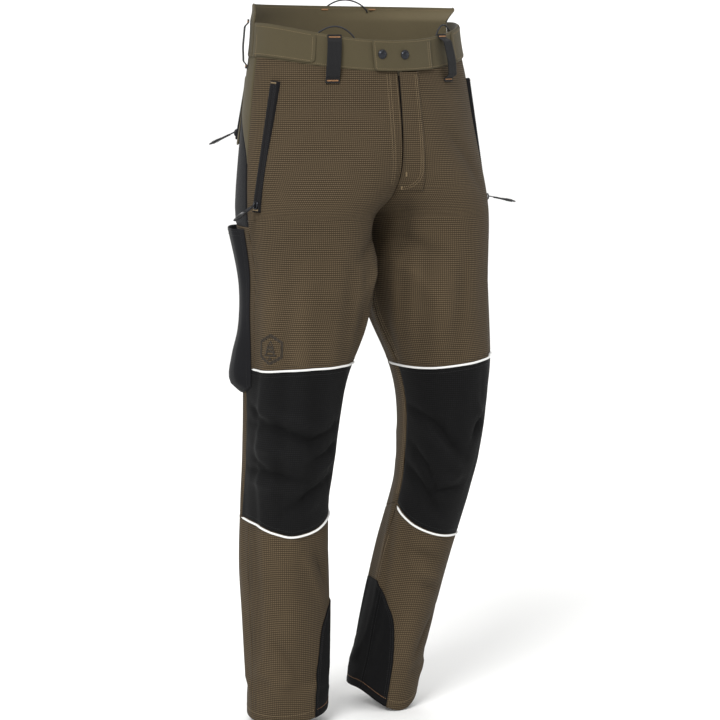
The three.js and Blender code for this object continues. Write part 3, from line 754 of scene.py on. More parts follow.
class Parts:
    """Collects solids that make one piece."""

    def __init__(self):
        self.verts, self.faces, self.slots, self.count = [], [], [], 0

    def add(self, verts, faces, slot=0):
        self.verts.append(np.asarray(verts, float))
        self.faces += [[int(i) + self.count for i in f] for f in faces]
        self.slots += [slot] * len(faces)
        self.count += len(verts)

    def stitches(self, points, normals, pitch=STITCH_PITCH, length=2.2, radius=0.28, slot=0):
        """Thread along a path: one short bead a stitch, its ends sunk in the cloth."""
        points, normals = resample(np.asarray(points, float), pitch, np.asarray(normals, float))
        t = frames(points)
        side = np.cross(t, normals)
        side /= np.maximum(np.linalg.norm(side, axis=1, keepdims=True), 1e-9)
        up = np.cross(side, t)
        a = np.arange(5) / 5 * 2 * np.pi
        block = []
        for along, size, lift in STITCH_RINGS:
            centre = points + t * along * length + up * lift
            block.append(centre[:, None] + side[:, None] * (np.cos(a)[None, :, None] * radius * size)
                         + up[:, None] * (np.sin(a)[None, :, None] * radius * size))
        faces = ring_faces(len(STITCH_RINGS), 5)
        faces += [[4, 3, 2, 1, 0], [15, 16, 17, 18, 19]]
        for verts in np.stack(block, 1).reshape(len(points), -1, 3):
            self.add(verts, faces, slot)

    def sew(self, k, phi, z, off, slot=0):
        """Stitches along a path on the folded cloth."""
        self.stitches(skin(k, phi, z, off), normal(k, phi, z), slot=slot)

    def sew_band(self, k, phi, z, off, slot=0):
        """Stitches along a path on the smooth surface of the waist."""
        self.stitches(at(k, phi, z, off), normal(k, phi, z), slot=slot)

    def tack(self, centre, along, out, width, height=2.2, slot=0):
        """A bar tack: close zigzag stitches over a few base threads."""
        along, out = (np.asarray(v, float) / np.linalg.norm(v) for v in (along, out))
        down = np.cross(along, out)
        n = int(width / TACK_PITCH)
        for i in range(n):
            c = centre + along * (i - (n - 1) / 2) * TACK_PITCH
            p = np.array([c - down * height / 2, c + out * 0.25 + along * 0.2, c + down * height / 2])
            self.add(*tube(p, 0.34, 5, up=out), slot)

    def build(self, name, mats, smooth_faces=True):
        return new_object(name, np.concatenate(self.verts), self.faces, mats, None, self.slots, smooth_faces)


def on_body(obj, body, slot_name, *nodes):
    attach(obj, body)
    finish_piece(obj, slot_name, *nodes)
    return obj


def over_knee(obj, k, slot_name, *nodes):
    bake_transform(obj)
    finish_piece(obj, slot_name, *nodes)
    return obj


def finish_piece(obj, slot_name, *nodes):
    if nodes:
        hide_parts(*nodes)


def const(value):
    return lambda x: np.full(np.shape(x), float(value))


def beside(k, phi, z, mm):
    """An angle moved along the surface by a distance."""
    a = at(k, phi, z)
    b = at(k, np.asarray(phi) + 1, z)
    return phi + mm / np.linalg.norm(b - a, axis=-1)


# ------------------------------------------------------------------ shell of the trousers
HELD = {}


def cloth_piece(name, outer, inside, mats, base=None):
    """A grid of cloth with its pattern coordinates and cut size."""
    base = outer if base is None else base
    obj = two_sided(name, outer, inside, cloth_uv(base), mats)
    across, down = lengths(base, 1), lengths(base, 0)
    cell = np.linalg.norm(np.cross(np.diff(base, axis=1)[:-1], np.diff(base, axis=0)[:, :-1]), axis=-1)
    HELD[name] = (float(across[:, -1].max()) * MM, float(down[-1].max()) * MM, float(cell.sum()) * MM * MM)
    return obj


def declare(obj):
    width, length, area = HELD[obj.name]
    area = min(max(area, 0.31 * width * length), width * length)


FLY_CUT = {-1: -1.4, 1: 9.5}      # where each front ends at the fly, from the mid plane


def fly_edge(k):
    cut = FLY_CUT[k]

    def edge(z):
        closing = (MID - cut) * smooth((-170 - z) / 46) * (k < 0)
        return np.where(z > CROTCH_FLY, phi_of_x(k, z, cut + closing), inner(k, z))
    return edge


SLOTS = {
    "brown": "ripstop_brown", "olive": "twill_olive", "stretch": "stretch_black",
    "black_ripstop": "ripstop_black",
}


def shell(k):
    """The panels that make one half: name, angle edges, height edges, material, place."""
    s = SIDES[k]
    kt = lambda p: knee_top(k, p)
    front, back = (lambda z: inner(k, z)), (lambda z: -inner(k, z))
    low = lambda p: knee_low(k, p)
    hem_k = lambda p: hem(k, p)
    make = [
        ("thigh_front", const(2), fly_edge(k), lambda p: band_bottom(p) + UNDER, kt, "brown", 0),
        ("side_hip", lambda z: np.minimum(hip_rear(z) + 0.15, 1.8), const(1.9),
         lambda p: np.where(p < -4.3, back_bottom(p), band_bottom(p)) + UNDER, const(-182),
         "olive", 0),
        ("seat", back, hip_rear, lambda p: back_bottom(p) + UNDER, const(-275), "stretch", 0),
        ("thigh_back", back, const(1.9), const(-275 - SEAM), kt, "brown", 0),
        ("knee_front", const(-20), front, lambda p: kt(p) - SEAM, low, "black_ripstop", 1),
        ("knee_back", back, const(-20.1), lambda p: kt(p) - SEAM, low, "brown", 1),
        ("shin", const(2), front, lambda p: low(p) - SEAM, hem_k, "brown", 2),
        ("calf", back, const(1.9), lambda p: low(p) - SEAM, hem_k, "brown", 2),
    ]
    for name, phi0, phi1, top, bottom, mat, place in make:
        obj = panel(f"{s}_{name}_cloth", k, phi0, phi1, top, bottom, [mat, "lining"])
        declare(obj)
        put(obj, k, place, SLOTS[mat], f"{s}_{name}_panel")


def put(obj, k, place, slot_name, *nodes):
    """place 0 is the trousers' body, 1 crosses the knee, 2 is the lower leg."""
    if place == 1:
        return over_knee(obj, k, slot_name, *nodes)
    return on_body(obj, "trousers" if place == 0 else f"{SIDES[k]}_lower_leg", slot_name, *nodes)


GUARD_REAR = 214.0     # rear edge of the ankle guards
GUARD_SEAM = 165.0     # their raised seam
HEM_FOLD = 13          # height of the hem's stitching


def ankle_guard(k):
    s = SIDES[k]
    rows = GUARD[k]
    head = rows[0][0]
    face = ON_TOP + THICK
    S, T = np.meshgrid(np.linspace(0, 1, 44), np.linspace(0, 1, 60) ** 1.6)
    z = head * (1 - T) - 1015 * T
    for _ in range(PASSES):
        phi = hermite(rows, z) * (1 - S) + GUARD_REAR * S
        z = head * (1 - T) + (hem(k, phi) + 0.4) * T
    base = at(k, phi, z, face)
    drop = edge_drop(lengths(base, 1), lengths(base, 0), (0.7,) * 4)
    outer, inside = skin(k, phi, z, face - drop), skin(k, phi, z, ON_TOP)
    obj = cloth_piece(f"{s}_ankle_guard_cloth", outer, inside, ["guard", "guard"], base)
    declare(obj)
    put(obj, k, 2, "stretch_black", f"{s}_ankle_guard")
    seam = Parts()
    zs = np.linspace(head - 12, float(hem(k, GUARD_SEAM)) + 2, 40)
    seam_phi = np.full(zs.shape, GUARD_SEAM)
    seam.add(*tube(skin(k, seam_phi, zs, face), 0.9, 6, 0.7), 0)
    edge = np.linspace(head - 4, -1022, 60)
    for inset in (2.5, 5.5):
        seam.sew(k, beside(k, hermite(rows, edge), edge, inset), edge, face, 1)
    for inset in (-2.6, 2.6):
        seam.sew(k, beside(k, seam_phi, zs, inset), zs, face, 1)
    phi = np.linspace(float(hermite(rows, -1010)) + 3, GUARD_REAR - 3, 60)
    seam.sew(k, phi, hem(k, phi) + HEM_FOLD, face, 2)
    put(seam.build(f"{s}_ankle_guard_stitching", ["guard", "black", "orange"]), k, 2, "stretch_black")


PIPING_POINTS = 150


def piping(k, which):
    s = SIDES[k]
    if which == "upper":
        phi = np.linspace(-3, 176 if k < 0 else 198, PIPING_POINTS)
        z = knee_top(k, phi) + 0.2
    else:
        phi = np.linspace(-18, 176, PIPING_POINTS)
        z = knee_low(k, phi) - 2.6
    p = Parts()
    i = np.arange(PIPING_POINTS)
    ends = np.clip(np.minimum(i, PIPING_POINTS - 1 - i) / 3, 0.35, 1)
    p.add(*tube(skin(k, phi, z, THICK + 0.9), 1.75 * ends, 10, 0.95), 0)
    obj = p.build(f"{s}_knee_{which}_piping_cord", ["reflective"])
    put(obj, k, 1, "reflective", f"{s}_knee_{which}_piping")


def kidney_top(k, phi, f):
    """Top edge of the raised back, dipping to the left. f is 0 at a side seam, 1 at centre back."""
    edge = np.clip((SIDE_SEAM - phi) / np.where(k < 0, 7, 4), 0, 1)
    return 27 + 28 * np.sqrt(1 - (1 - edge) ** 2) - 4 * (1 + k * (1 - f)) * edge


def kidney_lean(x, z):
    """The raised back leans to the wearer's left, most at that side."""
    across = np.clip(x / 165, -0.5, 1)
    return (6 + 6 * across + 7 * np.maximum(across, 0) ** 2) * smooth((z - 27) / 19)


BAND_FACE = BAND + 0.2
BACK_HALF = 90         # columns of the grid from a side seam to centre back


def front_waistband(k):
    s = SIDES[k]
    obj = panel(f"{s}_front_waistband_cloth", k, const(-4), lambda z: inner(k, z),
                band_top, band_bottom, ["olive", "lining"],
                off=BAND_IN, thick=BAND_FACE - BAND_IN, roll=(0.5, 0.5, 1.0, 0.9))
    declare(obj)
    put(obj, k, 0, "twill_olive", f"{s}_front_waistband")


def back_waistband():
    """The back waistband with its raised kidney panel, from one side seam to the other."""
    halves = [np.linspace(0, 0.5, BACK_HALF)[:-1], np.linspace(0.5, 1, BACK_HALF)]
    S, T = np.meshgrid(np.concatenate(halves), steps(80, 3.5))
    k = np.where(S < 0.5, -1, 1)
    f = np.where(S < 0.5, S * 2, (1 - S) * 2)
    z = np.full(S.shape, 20.0)
    for _ in range(PASSES):
        cx, a = section(1, z)[:2]
        end = 90 + np.degrees(np.arcsin(np.clip(cx / a, -1, 1)))
        rounded = SIDE_SEAM - 5.9 * f / 0.12
        phi = np.where(f < 0.12, rounded, -10.5 + (10.5 - end) * (f - 0.12) / 0.88)
        z = kidney_top(k, phi, f) * (1 - T) + back_bottom(phi) * T
    layers = []
    for off in (BAND_FACE, BAND_IN):
        p = at(1, phi, z, off)
        p[..., 0] = p[..., 0] * k
        p[:, BACK_HALF - 1, 0] = 0
        p[..., 0] += kidney_lean(p[..., 0], z)
        layers.append(p)
    base, inside = layers
    drop = edge_drop(lengths(base, 1), lengths(base, 0), (0.5, 0.5, 1.3, 0.9))
    n = normal(1, phi, z)
    n[..., 0] *= k
    outer = base - n * drop[..., None]
    # the inside face gets the lighter olive: painted light against the shade inside the raised back
    obj = cloth_piece("back_waistband_cloth", outer, inside, ["olive", "olive_painted_light"], base)
    declare(obj)
    put(obj, -1, 0, "twill_olive", "back_waistband")


def band_stitching():
    p = Parts()
    for k in SIDES:
        phi = np.linspace(-3, float(inner(k, -20.0)) - 2, 120)
        for z in (band_top(phi) - 3, band_bottom(phi) + 3):
            p.sew_band(k, phi, z, BAND)
        phi = np.linspace(-89, -9, 130)
        z = kidney_top(k, phi, (SIDE_SEAM - phi) / 85) - 4.2
        lean = np.stack([kidney_lean(at(k, phi, z)[:, 0], z), 0 * z, 0 * z], -1)
        p.stitches(at(k, phi, z, BAND_FACE) + lean, normal(k, phi, z))
        p.stitches(at(k, phi, z, BAND_IN) + lean, -normal(k, phi, z))
        p.sew_band(k, phi, back_bottom(phi) + 3, BAND)
    # tacks that hold the back brace loop
    height, aside, across = 45.0, [5, 0, 0], [1, 0, 0]
    for phi in (-87.5, -60.0):
        out = normal(1, phi, height)
        p.tack(at(1, phi, height, BAND_IN - 0.2) + aside, across, -out, 12, slot=1)
        p.tack(at(1, phi, height, BAND) + aside, across, out, 12, slot=1)
    put(p.build("waistband_stitching", ["tan", "orange"]), 1, 0, "twill_olive")


def shell_stitching(k):
    s = SIDES[k]
    kt = KNEE_TOP[k]
    names = ["tan", "dark", "black"]
    kn = lambda p: knee_top(k, p)
    front, back = (lambda z: inner(k, z)), (lambda z: -inner(k, z))

    def vertical(p, phi, z0, z1, inset, slot, n=60):
        z = np.linspace(z0, z1, n)
        edge = phi(z) if callable(phi) else np.full(n, float(phi))
        p.sew(k, beside(k, edge, z, inset), z, THICK, slot)

    def level(p, phi0, phi1, height, above, slot, n=90):
        phi = np.linspace(phi0, phi1, n)
        p.sew(k, phi, height(phi) + above, THICK, slot)

    thigh = Parts()
    for inset in (3, 9):
        vertical(thigh, 2, -190, kt + 6, inset, 1)
        vertical(thigh, hip_rear, -30, -270, -inset, 2, 90)
    vertical(thigh, 1.6, -282, kt + 5, -3, 1)
    level(thigh, 4, 172, kn, 6.5, 1)
    level(thigh, -172, 0, kn, 5, 1)
    level(thigh, -170, -3, const(-275), 4, 2)
    level(thigh, -170, -3, const(-275), -5, 1)
    for inset in (-3, -8):
        vertical(thigh, front, -272, kt + 6, inset, 0)
        vertical(thigh, back, -285, kt + 6, -inset, 0)
    vertical(thigh, back, -30, -262, 3, 2, 80)
    put(thigh.build(f"{s}_thigh_stitching", names), k, 0, "ripstop_brown")

    knee = Parts()
    low = lambda p: knee_low(k, p)
    level(knee, -17, 174, kn, -8, 2)
    level(knee, -172, -24, kn, -5, 1)
    level(knee, -15, 174, low, 6, 2)
    for inset in (3, 8):
        vertical(knee, back, kt - 4, -698, inset, 0)
        vertical(knee, -20.6, kt - 4, -695, -inset, 1)
    vertical(knee, -20, kt - 6, -695, 3.5, 2)
    vertical(knee, front, kt - 6, -694, -4, 2)
    put(knee.build(f"{s}_knee_stitching", names), k, 1, "ripstop_black")

    lower = Parts()
    bottom = -1016 if k < 0 else -1005
    level(lower, 4, 174, low, -9, 1)
    level(lower, -174, 0, low, -5, 1)
    level(lower, -176, 99 if k < 0 else 114, lambda p: hem(k, p), HEM_FOLD, 0, 150)
    start = -714 if k < 0 else -766
    for inset in (3, 9):
        vertical(lower, 2, start - 14, bottom - 14, inset, 1)
        vertical(lower, back, start, bottom, inset, 0)
    vertical(lower, front, start, GUARD[k][0][0] + 2, -3.5, 0)
    vertical(lower, 1.6, start - 14, bottom - 14, -3, 1)
    put(lower.build(f"{s}_lower_leg_stitching", names), k, 2, "ripstop_brown")


# ------------------------------------------------------------------ protective inlay
INLAY_OUTER, INLAY_INNER = -4.8, -10.2
INLAY_TOP, INLAY_LENGTH = -125, 860
QUILT_COLUMNS, QUILT_ROWS = 5, 16


def inlay(k):
    """The quilted pad inside the front of a leg."""
    s = SIDES[k]
    T, S = np.meshgrid(np.linspace(0, 1, 190), np.linspace(0, 1, 60), indexing="ij")
    z = INLAY_TOP - INLAY_LENGTH * T
    wide = np.minimum(170, inner(k, z[:, :1], INLAY_OUTER, 1.4))
    phi = 10 * (1 - S) + wide * S
    rim = np.minimum(np.minimum(S, 1 - S) * 40, np.minimum(T, 1 - T) * 150)
    body = np.sqrt(np.clip(1 - (1 - np.clip(rim, 0, 1)) ** 2, 0.02, 1))
    channel = np.abs(np.sin(np.pi * S * QUILT_COLUMNS)) ** 0.35 * 0.35 + 0.65
    row = np.abs(np.sin(np.pi * T * QUILT_ROWS)) ** 0.35 * 0.25 + 0.75
    half = (INLAY_OUTER - INLAY_INNER) / 2 * body * channel * row
    mid = (INLAY_OUTER + INLAY_INNER) / 2
    keep = np.minimum(relief(k, phi, z), 0)
    outer, inside = at(k, phi, z, mid + half + keep), at(k, phi, z, mid - half + keep)
    obj = two_sided(f"{s}_padded_inlay", outer, inside, cloth_uv(at(k, phi, z, mid)), ["pad", "pad"])
    over_knee(obj, k, "pad_yellow", f"{s}_protective_inlay")


# ------------------------------------------------------------------ zips
def unit(v):
    v = np.asarray(v, float)
    return v / np.linalg.norm(v)


def loft(p, o, axes, rows, sides=16, power=3.0, slot=0):
    """Rounded solid along axes[0]; rows of (u, half width, low, high)."""
    u_axis, v_axis, n_axis = axes
    a = np.arange(sides) / sides * 2 * np.pi
    wide = np.sign(np.cos(a)) * np.abs(np.cos(a)) ** (2 / power)
    high = np.sign(np.sin(a)) * np.abs(np.sin(a)) ** (2 / power)
    verts = []
    for u, half_width, lo, hi in rows:
        height = (lo + hi) / 2 + high * (hi - lo) / 2
        verts += list(o + u_axis * u + v_axis * (wide * half_width)[:, None] + n_axis * height[:, None])
    faces = [[a, d, c, b] for a, b, c, d in ring_faces(len(rows), sides)]
    faces += [list(range(sides))[::-1], [(len(rows) - 1) * sides + j for j in range(sides)]]
    if np.dot(np.cross(v_axis, n_axis), u_axis) < 0:
        faces = [f[::-1] for f in faces]
    p.add(verts, faces, slot)


def ring(p, centre, ax, ay, rx, ry, radius, slot=0, sides=8, n=28):
    """A closed loop of wire."""
    t = np.arange(n) / n * 2 * np.pi
    az = np.cross(ax, ay)
    verts, faces = [], []
    for q in t:
        c = centre + ax * rx * math.cos(q) + ay * ry * math.sin(q)
        out = unit(ax * math.cos(q) / rx + ay * math.sin(q) / ry)
        for j in range(sides):
            w = j / sides * 2 * math.pi
            verts.append(c + out * radius * math.cos(w) + az * radius * math.sin(w))
    for i in range(n):
        for j in range(sides):
            a, b = i * sides + j, i * sides + (j + 1) % sides
            c, d = (i + 1) % n * sides + (j + 1) % sides, (i + 1) % n * sides + j
            faces.append([a, d, c, b])
    p.add(verts, faces, slot)


class Zip:
    """The frame of a zip: a its top end, u down along it, w across, n away from the leg."""

    def __init__(self, name, k, top, low, width):
        self.name, self.width = name, width
        self.a, self.b = at(k, *top), at(k, *low)
        self.u = unit(self.b - self.a)
        level = normal(k, (top[0] + low[0]) / 2, (top[1] + low[1]) / 2)
        self.n = unit(level - self.u * (level @ self.u))
        self.w = np.cross(self.n, self.u)
        self.length = np.linalg.norm(self.b - self.a)
        self.slider = self.b - self.u * 16


def zip_lip(p, zipper, sign):
    """One lip over the coil, its outer side running down to the shell, with its stitching."""
    a, u, w, n, width = zipper.a, zipper.u, zipper.w, zipper.n, zipper.width
    rows = np.linspace(0, zipper.length, 60)
    profile = [(0.12, -0.6), (0.1, 0.8), (0.6, 1.25), (width * 0.25, 1.35),
               (width / 2 - 0.8, 1.2), (width / 2, 0.6), (width / 2 + 0.4, -1.0)]
    grid = []
    for r in rows:
        line = [a + u * r + w * sign * x + n * y for x, y in profile]
        foot = line[-1]
        for drop in (0.5, 1.0):
            line.append(foot - n * 3.4 * drop + w * sign * 0.8 * drop)
        grid.append(line)
    grid = np.array(grid)
    nv, nu = grid.shape[:2]
    count = nu * nv
    faces = list(grid_faces(nu, nv, 0, sign > 0)) + list(grid_faces(nu, nv, count, sign < 0))
    border = rim_of(nu, nv)
    for v, q in zip(border, np.roll(border, -1)):
        quad = [v, q, q + count, v + count]
        faces.append(quad if sign > 0 else quad[::-1])
    p.add(np.concatenate([grid.reshape(-1, 3), (grid - n * 0.8).reshape(-1, 3)]), faces, 0)
    edge = a + u * rows[2:-2, None] + w * sign * (width / 2 - 1.6) + n * 1.35
    p.stitches(edge, np.tile(n, (len(edge), 1)), slot=1)


def zip_tape(zipper):
    a, u, w, n, total = zipper.a, zipper.u, zipper.w, zipper.n, zipper.length
    p = Parts()
    for sign in (-1, 1):
        zip_lip(p, zipper, sign)
    coil = np.linspace(4, total - 4, int(total * 2.5))
    turn = coil * 2 * np.pi / 1.4
    path = a + u * coil[:, None] + w * (np.cos(turn) * 1.1)[:, None]
    path = path + n * (np.sin(turn) * 0.5 + 0.35)[:, None]
    p.add(*tube(path, 0.28, 4, up=n), 2)
    for end in (3.0, total - 3.0):
        p.tack(a + u * end + n * 1.5, w, n, zipper.width - 2, slot=3)
    obj = p.build(f"{zipper.name}_tape_and_lips", ["tape", "black", "coil", "tan"])
    on_body(obj, "trousers", "zip_black", f"{zipper.name}_tape")


# rows of the slider: place along it, half width, low and high face; its bridge: along, height
ZIP_SLIDER = [(0, 2.2, 1.6, 3.0), (0.8, 3.2, 1.5, 3.6), (2, 4.2, 1.4, 4.0), (6, 4.4, 1.4, 4.2),
              (10, 3.7, 1.4, 4.0), (11.4, 2.9, 1.5, 3.7), (12, 2.2, 1.6, 3.2)]
ZIP_BRIDGE = [(1.8, 3.8), (2.4, 5.0), (4, 5.6), (6, 5.7), (8, 5.5), (9.6, 5.0), (10.2, 3.8)]


def zip_slider(zipper, body):
    o, u, n = zipper.slider, zipper.u, zipper.n
    p = Parts()
    loft(p, o, (u, zipper.w, n), ZIP_SLIDER)
    bridge = np.array([o + u * x + n * y for x, y in ZIP_BRIDGE])
    p.add(*tube(bridge, 0.9, 8, up=n), 0)
    on_body(p.build(f"{zipper.name}_slider_body", ["metal"]), body, "gunmetal", f"{zipper.name}_slider")


def zip_pull(zipper, body, direction, length):
    """A wire ring, a folded strip of webbing and a moulded grip, from the slider outwards."""
    pivot = zipper.slider + zipper.u * 6 + zipper.n * 6.2
    q = unit(direction)
    h = unit(np.cross(q, zipper.u))
    x = unit(np.cross(h, q))
    half = length * 0.5
    p = Parts()
    ring(p, pivot + q * 3.4, q, h, 3.6, 2.0, 0.75, 0)
    strip = [(5.6, 2.2, 0.6), (7.5, 2.6, 0.9), (9, 3.4, 1.1), (13, 3.7, 1.2), (half, 3.8, 1.2)]
    loft(p, pivot, (q, h, x), [(d, hw, -t, t) for d, hw, t in strip], slot=1)
    grip = [(half - 1, 3.6, 1.0), (half + 0.5, 4.3, 1.7), (length * 0.62, 4.4, 1.8),
            (length * 0.8, 4.1, 1.7), (length - 3, 3.4, 1.3), (length - 1, 2.4, 1.0), (length, 1.4, 0.5)]
    loft(p, pivot, (q, h, x), [(d, hw, -t, t) for d, hw, t in grip], 20, slot=2)
    for share in (0.66, 0.72, 0.78, 0.84):
        for face in (x * 1.75, -x * 1.75):
            rib = [pivot + q * length * share + h * y + face for y in (-3.2, -1, 1, 3.2)]
            p.add(*tube(np.array(rib), 0.5, 6, up=x), 2)
    edge = pivot + q * np.linspace(9, half - 2, 12)[:, None]
    for aside in (-2.4, 2.4):
        p.stitches(edge + h * aside + x * 1.2, np.tile(x, (12, 1)), slot=1)
    obj = p.build(f"{zipper.name}_pull_tab", ["metal", "webbing", "plastic"])
    on_body(obj, body, "webbing_black", f"{zipper.name}_pull")


HAND_TOP, HAND_LOW, HAND_WIDTH = (23, -59, 5.0), (15, -251, 5.4), 13
BACK_TOP, BACK_LOW, BACK_WIDTH = (-36, -58, 4.6), (-38, -150, 10.5), 11


def zips():
    """Each zip with the way its pull points: out from the leg at (phi, z) and down."""
    up = np.array([0, 0, 1.0])
    for name, k, frame_of, out_at, out, down, length in (
            ("right_hand", -1, (HAND_TOP, HAND_LOW, HAND_WIDTH), (16, -235), 39, 21, 45),
            ("left_hand", 1, (HAND_TOP, HAND_LOW, HAND_WIDTH), (16, -235), 43, 9, 44),
            ("back", -1, (BACK_TOP, BACK_LOW, BACK_WIDTH), (-38, -142), 42, 20, 44)):
        zipper = Zip(f"{name}_zip", k, *frame_of)
        zip_tape(zipper)
        zip_slider(zipper, f"{name}_slider")
        zip_pull(zipper, f"{name}_pull", normal(k, *out_at) * out - up * down, length)


def back_welt():
    def bowed(s, t, phi, z):
        return 5.6 * smooth((t - 0.2) / 0.8) * np.sin(np.pi * np.clip(s, 0.02, 0.98)) ** 0.7
    welt = panel("back_pocket_welt_cloth", -1, const(-50), const(-26), const(-54), const(-157),
                 ["olive", "olive"], off=ON_TOP, step=3, shape=bowed)
    declare(welt)
    put(welt, -1, 0, "twill_olive", "back_pocket_welt")


# ------------------------------------------------------------------ front closure
def front_at(x, z, off):
    """A point of the pelvis front for any x."""
    x, z, off = np.broadcast_arrays(np.asarray(x, float), np.asarray(z, float), np.asarray(off, float))
    k = np.where(x < 0, -1, 1)
    cx, a, b, cy = section(1, z)
    c = np.clip((np.abs(x) - cx) / a, -1, 1)
    s = np.sqrt(1 - c * c)
    nx, ny = c / a, -s / b
    size = np.hypot(nx, ny)
    side = np.where(np.abs(x) < 14, 0, k * off * nx / size)
    return np.stack([x + side, cy - b * s + off * ny / size, z], -1)


FLY_COIL_X = 5.8
# rows of the fly slider and of its pull: place along it, half width, low and high face
FLY_SLIDER = [(0, 1.6, 0.2, 1.2), (1, 2.4, 0, 1.7), (4, 2.8, 0, 1.9), (8, 2.5, 0, 1.9), (9.2, 1.6, 0.3, 1.4)]
FLY_PULL = [(9, 1.0, 0.6, 1.4), (10, 1.5, 0.5, 1.6), (22, 1.9, 0.5, 1.6), (25, 1.5, 0.6, 1.5),
            (26, 0.8, 0.8, 1.3)]
FLAP_IN, FLAP_FACE = 3.0, 4.25


def fly_zip():
    xs, zs = np.meshgrid(np.linspace(-5, 13, 13), np.linspace(-52, -205, 60))
    outer, inside = front_at(xs, zs, -2.6), front_at(xs, zs, -4.0)
    tape = cloth_piece("fly_zip_tape_cloth", outer, inside, ["tape", "tape"])
    declare(tape)
    on_body(tape, "trousers", "zip_black", "fly_zip_tape")
    p = Parts()
    z = np.linspace(-56, -200, 420)
    turn = z * 2 * np.pi / 1.6
    path = front_at(FLY_COIL_X + np.cos(turn) * 1.3, z, -2.2 + np.sin(turn) * 0.45)
    p.add(*tube(path, 0.32, 4), 0)
    on_body(p.build("fly_zip_coil", ["coil"]), "trousers", "zip_black")
    off = -0.4
    a, b = (at(1, float(phi_of_x(1, np.array(z), FLY_COIL_X, off)), z, off) for z in (-62.0, -137.0))
    u = unit(b - a)
    w = np.array([1.0, 0, 0])
    n = unit(np.cross(w, u))
    n = -n if n[1] > 0 else n
    p = Parts()
    loft(p, a, (u, w, n), FLY_SLIDER)
    loft(p, a, (u, w, n), FLY_PULL)
    on_body(p.build("fly_slider_and_pull", ["metal"]), "fly_slider", "gunmetal", "fly_zip_slider")


def flap_edge(z):
    return phi_of_x(1, z, 2.4 - 1.4 * smooth((-60 - z) / 155))


def fly_flap():
    flap = panel("fly_flap_cloth", 1, lambda z: phi_of_x(1, z, 36), flap_edge,
                 lambda p: band_bottom(p) - 1.2, const(-222), ["brown", "lining"],
                 off=FLAP_IN, roll=(1.1, 0.6, 0.6, 1.0))
    declare(flap)
    on_body(flap, "fly_flap_body", "ripstop_brown", "fly_flap")
    p = Parts()
    for row in (0, 3.5):
        bend = np.linspace(0.05, 1.5, 18)
        z = np.concatenate([np.linspace(-52, -192, 50), -192 - (28 - row) * np.sin(bend)])
        x = np.concatenate([np.full(50, 32.0 - row), 32 - row - (26 - row) * (1 - np.cos(bend))])
        p.sew(1, np.array([float(phi_of_x(1, np.array(zz), xx)) for zz, xx in zip(z, x)]), z, FLAP_FACE)
    z = np.linspace(-50, -216, 60)
    p.sew(1, beside(1, flap_edge(z), z, -2.5), z, 4.2, 1)
    for tack_z in (-196.0, -216.0):
        phi = float(flap_edge(np.array(tack_z))) - 3
        p.tack(skin(1, phi, tack_z, 4.3), [0, 0, 1.0], normal(1, phi, tack_z), 9, slot=0)
    on_body(p.build("fly_flap_stitching", ["tan", "dark"]), "fly_flap_body", "ripstop_brown")


def right_fly_edge():
    p = Parts()
    z = np.linspace(-50, -212, 60)
    for x in (2.0, 13.0, 18.0):
        p.sew(-1, phi_of_x(-1, z, x), z, THICK)
    on_body(p.build("right_fly_edge_stitching", ["tan"]), "trousers", "ripstop_brown")


# turned profiles of the press studs: radius, height over the waist
SNAP_PROFILES = {
    "cap": [(0, 7.8), (6.6, 7.8), (7.0, 8.0), (7.0, 8.5), (6.7, 8.8), (6.2, 8.75), (5.9, 9.3),
            (4.6, 10.3), (3.0, 10.9), (1.5, 11.1), (0, 11.2)],
    "stud": [(0, 3.5), (5.2, 3.5), (5.4, 3.7), (5.2, 3.9), (2.8, 4.0), (2.6, 4.2), (2.5, 4.5),
             (2.1, 4.6), (0, 4.6)],
}
SNAP_SIDES = 48


def snap(name, x, z, part):
    o, across = front_at(x, z, 0), unit(front_at(x + 2, z, 0) - front_at(x - 2, z, 0))
    n = np.array([across[1], -across[0], 0])
    n = -n if n[1] > 0 else n
    ax = unit(np.cross(n, [0, 0, 1.0]))
    ay = np.cross(n, ax)
    profile = SNAP_PROFILES[part]
    angle = np.arange(SNAP_SIDES) / SNAP_SIDES * 2 * np.pi
    spin = np.cos(angle)[:, None] * ax + np.sin(angle)[:, None] * ay
    verts = [o + n * profile[0][1]]
    for r, h in profile[1:-1]:
        verts += list(o + n * h + spin * r)
    verts.append(o + n * profile[-1][1])
    rings = len(profile) - 2
    faces = [[1 + a, 1 + d, 1 + c, 1 + b] for a, b, c, d in ring_faces(rings, SNAP_SIDES)]
    last = 1 + (rings - 1) * SNAP_SIDES
    for j in range(SNAP_SIDES):
        q = (j + 1) % SNAP_SIDES
        faces.append([0, 1 + q, 1 + j])
        faces.append([last + SNAP_SIDES, last + j, last + q])
    if np.dot(np.cross(ax, ay), n) < 0:
        faces = [f[::-1] for f in faces]
    return new_object(f"{name}_snap_{part}_metal", verts, faces, ["metal"])


TAB_LEFT, TAB_LENGTH = -38, 100
TAB_IN, TAB_FACE = 5.2, 6.6
SNAPS = {"outer": (-25, -20), "inner": (12, -21)}


def tab_edges(x):
    """Top and bottom edge of the waist tab, following the band's curve."""
    return 0.5 + 26 * (x / 168) ** 2, -45 + 20 * (x / 172) ** 2


def rounded(d, radius):
    """How far an edge draws in at a rounded end; d runs from 0 at the end to 1."""
    return radius * (1 - np.sqrt(1 - (1 - d) ** 2))


